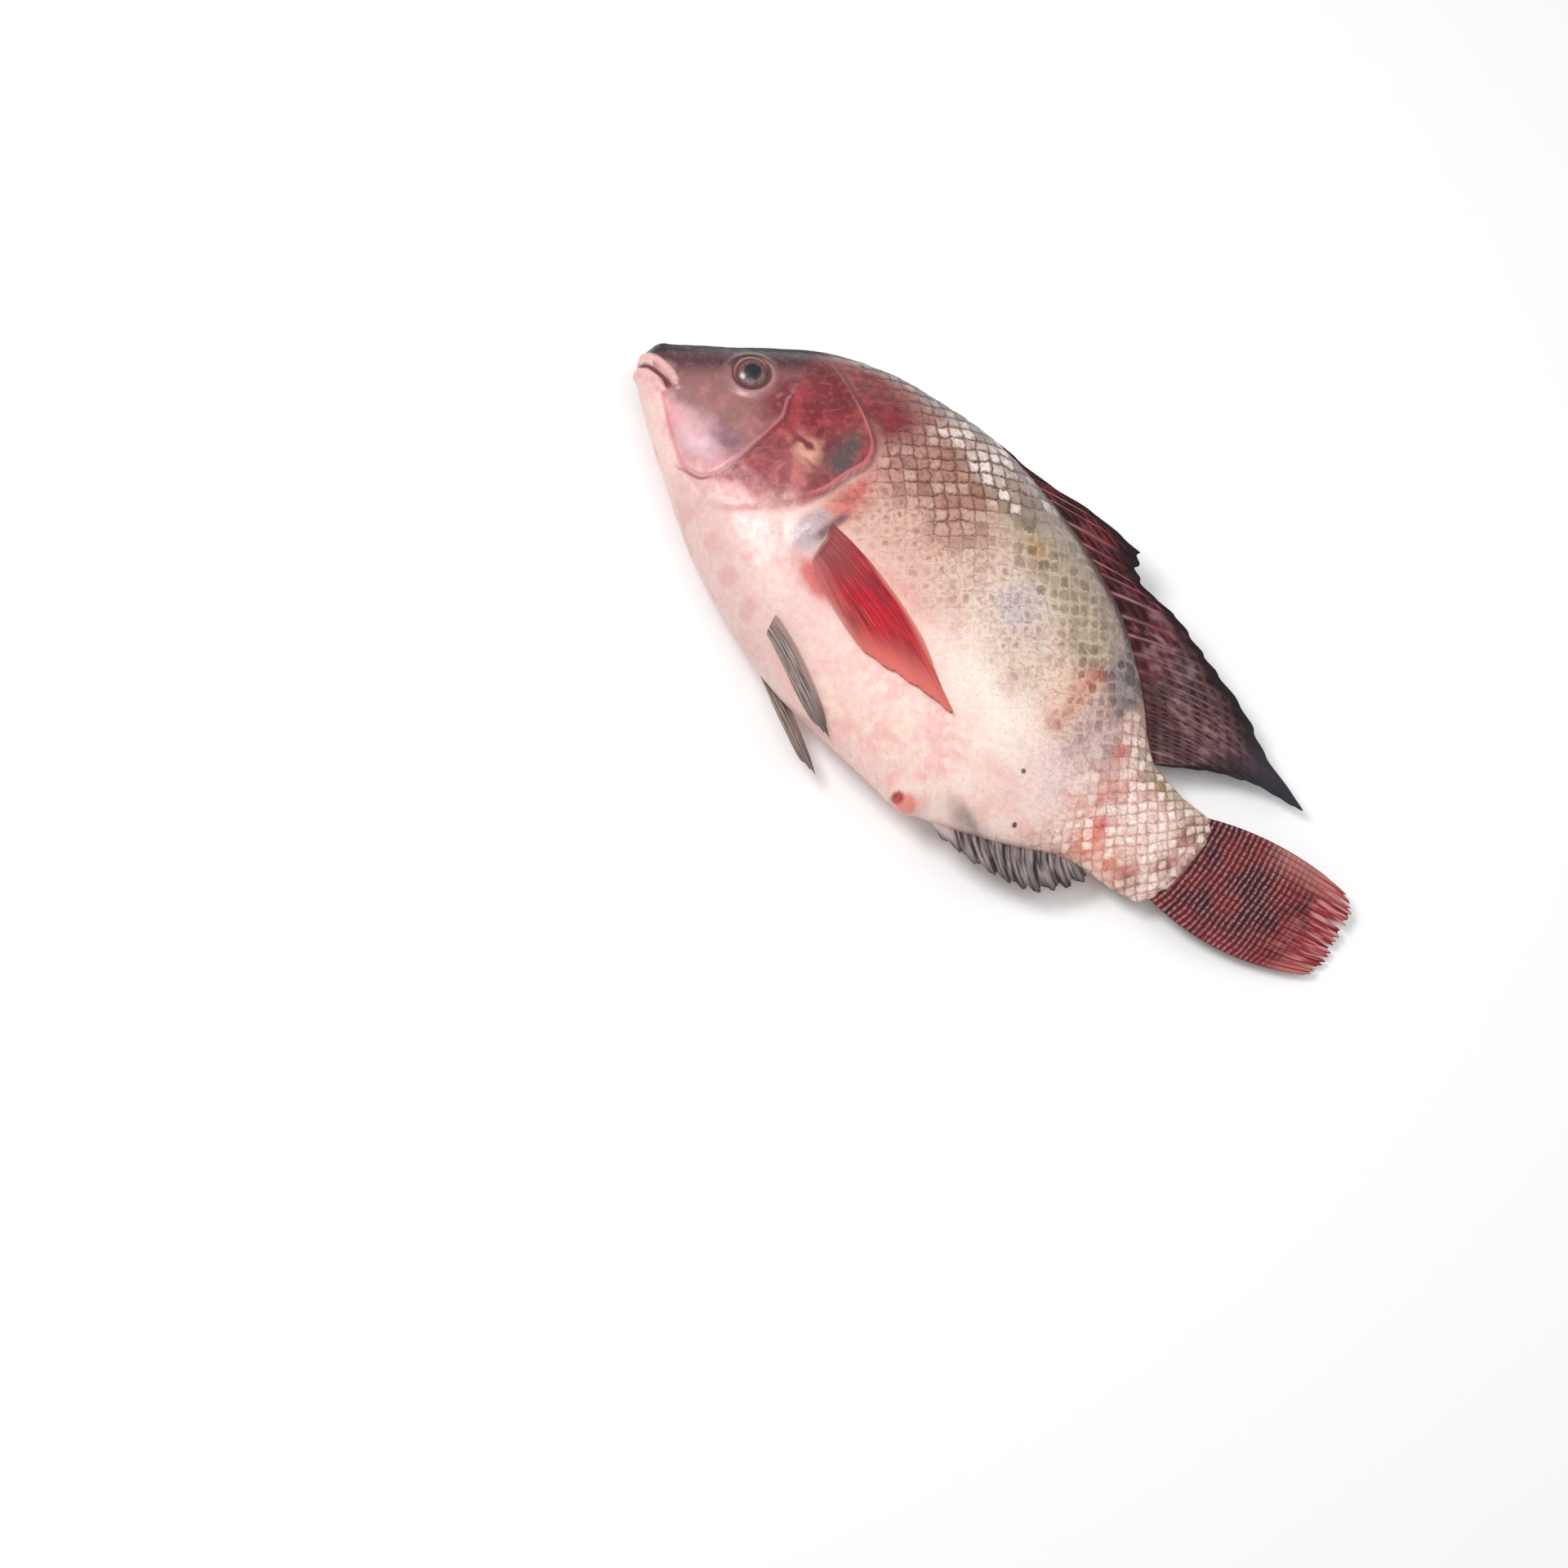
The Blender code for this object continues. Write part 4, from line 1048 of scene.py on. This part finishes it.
def grey_fin_material(name, dark, pale, front):
    """A folded fin: dark streaks along the rays on a paler ground, and a pale front end."""
    g, place, ray, share, way, ridge = fin_graph(name)
    streak = g.streaks(4.0 * ray, 0.1 * way, 4.0)
    colour = g.over(
        g.mix(g.step(streak, 0.38, 0.74), srgb(*dark), srgb(*pale)),
        (0.4 * g.step(ridge, 0.75, 0.97), pale),
        (0.7 * g.step(share, 0.65, 1.0), dark),
        (0.8 * g.step(ray, 2.2, 0.8) * g.step(share, 1.0, 0.6), front))
    return finish_fin(g, colour, place, ridge)


def pectoral_material():
    """Brownish at the root, wine and bright red along the rays, and clear and pink towards the edges."""
    g, place, ray, share, way, ridge = fin_graph("pectoral_fin")
    streak = g.streaks(2.6 * ray, 0.05 * way, 3.0)
    fine = g.streaks(9.0 * ray, 0.08 * way, 2.0)
    patch = g.spots(place, 0.1, 2.0)
    rim = g.step(ray + 2.6 * (streak - 0.5) + 0.8 * (fine - 0.5), 6.0, 9.0)
    colour = g.over(
        g.mix(g.step(streak + 0.5 * (patch - 0.5), 0.38, 0.66), srgb(142, 40, 52), srgb(188, 30, 42)),
        (0.85 * g.step(share, 0.4, 0.08), (140, 76, 78)),
        (0.45 * g.step(fine, 0.52, 0.66), (206, 92, 88)),
        (0.4 * g.step(fine, 0.45, 0.3), (110, 22, 34)),
        (0.8 * rim, (224, 136, 130)),
        (0.75 * g.step(share, 0.6, 0.95), (226, 122, 112)),
        (0.7 * g.step(ray, 0.9, 0.2) * g.step(share, 0.3, 0.55), (226, 146, 126)))
    g.set(Alpha=g.step(share, 0.01, 0.1) * (1 - 0.8 * rim * (0.5 + 0.5 * g.step(share, 0.2, 0.7))))
    return finish_fin(g, colour, place, ridge)


def make_fins():
    """The seven fins. The far pelvic one is turned back and down, so that it shows under the near one."""
    tail = fin_sheet(TAIL_GUIDES, rays=17, steps=(238, 84), height_at=upright(wave=1.4, ripple=0.25),
                     fray=1.4, thickness=0.9, branches=3, slits=6)
    make_fin("tail_fin", tail, tail_material())
    dorsal = fin_sheet(DORSAL_GUIDES, rays=24, steps=(384, 60), height_at=upright(wave=1.2, ripple=0.2),
                       fray=1.9, thickness=1.1)
    make_fin("dorsal_fin", dorsal, dorsal_material())
    anal = fin_sheet(ANAL_GUIDES, rays=10, steps=(140, 36), height_at=upright(wave=0.8, ripple=0.3),
                     fray=1.6, thickness=0.9)
    make_fin("anal_fin", anal, grey_fin_material("anal_fin", (46, 38, 40), (170, 154, 154), (196, 178, 176)))
    red = pectoral_material()
    for name, side in (("pectoral_fin_left", 1), ("pectoral_fin_right", -1)):
        pectoral = fin_sheet(PECTORAL_GUIDES, rays=9, steps=(126, 90), height_at=on_flank(side),
                             fray=1.2, thickness=0.7)
        make_fin(name, pectoral, red)
    grey = grey_fin_material("pelvic_fin", (94, 84, 80), (196, 172, 166), (176, 140, 134))
    back, down = FAR_PELVIC_SHIFT
    far_guides = [(x0, y0 - 3, x1 + back, y1 + down, bow) for x0, y0, x1, y1, bow in PELVIC_GUIDES]
    for name, guides, height_at in (("pelvic_fin_left", PELVIC_GUIDES, over_belly),
                                    ("pelvic_fin_right", far_guides, under_belly)):
        pelvic = fin_sheet(guides, rays=6, steps=(84, 60), height_at=height_at, fray=1.0, thickness=0.8)
        make_fin(name, pelvic, grey)


def make_stage():
    """A plain pale floor, a bright sky and three soft lamps."""
    g = Graph("pale_floor")
    g.set(Base_Color=srgb(246, 246, 246), Roughness=0.7)
    floor = bpy.data.meshes.new("floor")
    corners = [(FLOOR_REACH * x, FLOOR_REACH * y, 0) for x, y in ((-1, -1), (1, -1), (1, 1), (-1, 1))]
    floor.from_pydata(corners, [], [(0, 1, 2, 3)])
    floor.materials.append(g.material)
    piece = bpy.data.objects.new("floor", floor)
    piece.location.z = FLOOR_LEVEL
    bpy.context.scene.collection.objects.link(piece)

    world = bpy.data.worlds.new("studio")
    world.use_nodes = True
    sky = world.node_tree.nodes["Background"]
    sky.inputs["Color"].default_value = (1, 1, 1, 1)
    sky.inputs["Strength"].default_value = SKY_STRENGTH
    bpy.context.scene.world = world
    for name, place, size, power in LAMPS:
        light = bpy.data.lights.new(name, "AREA")
        light.shape = "DISK"
        light.size = size
        light.energy = power
        lamp = bpy.data.objects.new(name, light)
        lamp.location = place
        lamp.rotation_euler = (Vector((0, 0, 0.02)) - Vector(place)).to_track_quat("-Z", "Y").to_euler()
        bpy.context.scene.collection.objects.link(lamp)


def make_camera():
    """Looks down at the fish from the belly's side, turned so that the fish runs down to the right."""
    tilt, yaw = np.radians(VIEW_TILT), np.radians(VIEW_YAW)
    back = Vector((np.sin(tilt) * np.sin(yaw), -np.sin(tilt) * np.cos(yaw), np.cos(tilt)))
    eye = Vector(to_row(VIEW_TARGET)) + back * VIEW_DISTANCE * MM
    aim = Vector(to_row(VIEW_AIM))
    back = (eye - aim).normalized()
    along = Vector((1, 0, 0)) - back * back.x
    along.normalize()
    over = back.cross(along)
    roll = np.radians(VIEW_ROLL)
    right = along * np.cos(roll) + over * np.sin(roll)
    up = over * np.cos(roll) - along * np.sin(roll)
    camera = bpy.data.objects.new("camera", bpy.data.cameras.new("camera"))
    camera.data.lens = VIEW_LENS
    camera.data.sensor_width = 36
    camera.matrix_world = Matrix((right, up, back)).transposed().to_4x4()
    camera.location = eye
    bpy.context.scene.collection.objects.link(camera)
    bpy.context.scene.camera = camera
    bpy.context.scene.view_settings.view_transform = "Standard"


make_camera()
make_stage()
make_skin()
make_eyes()
make_fins()
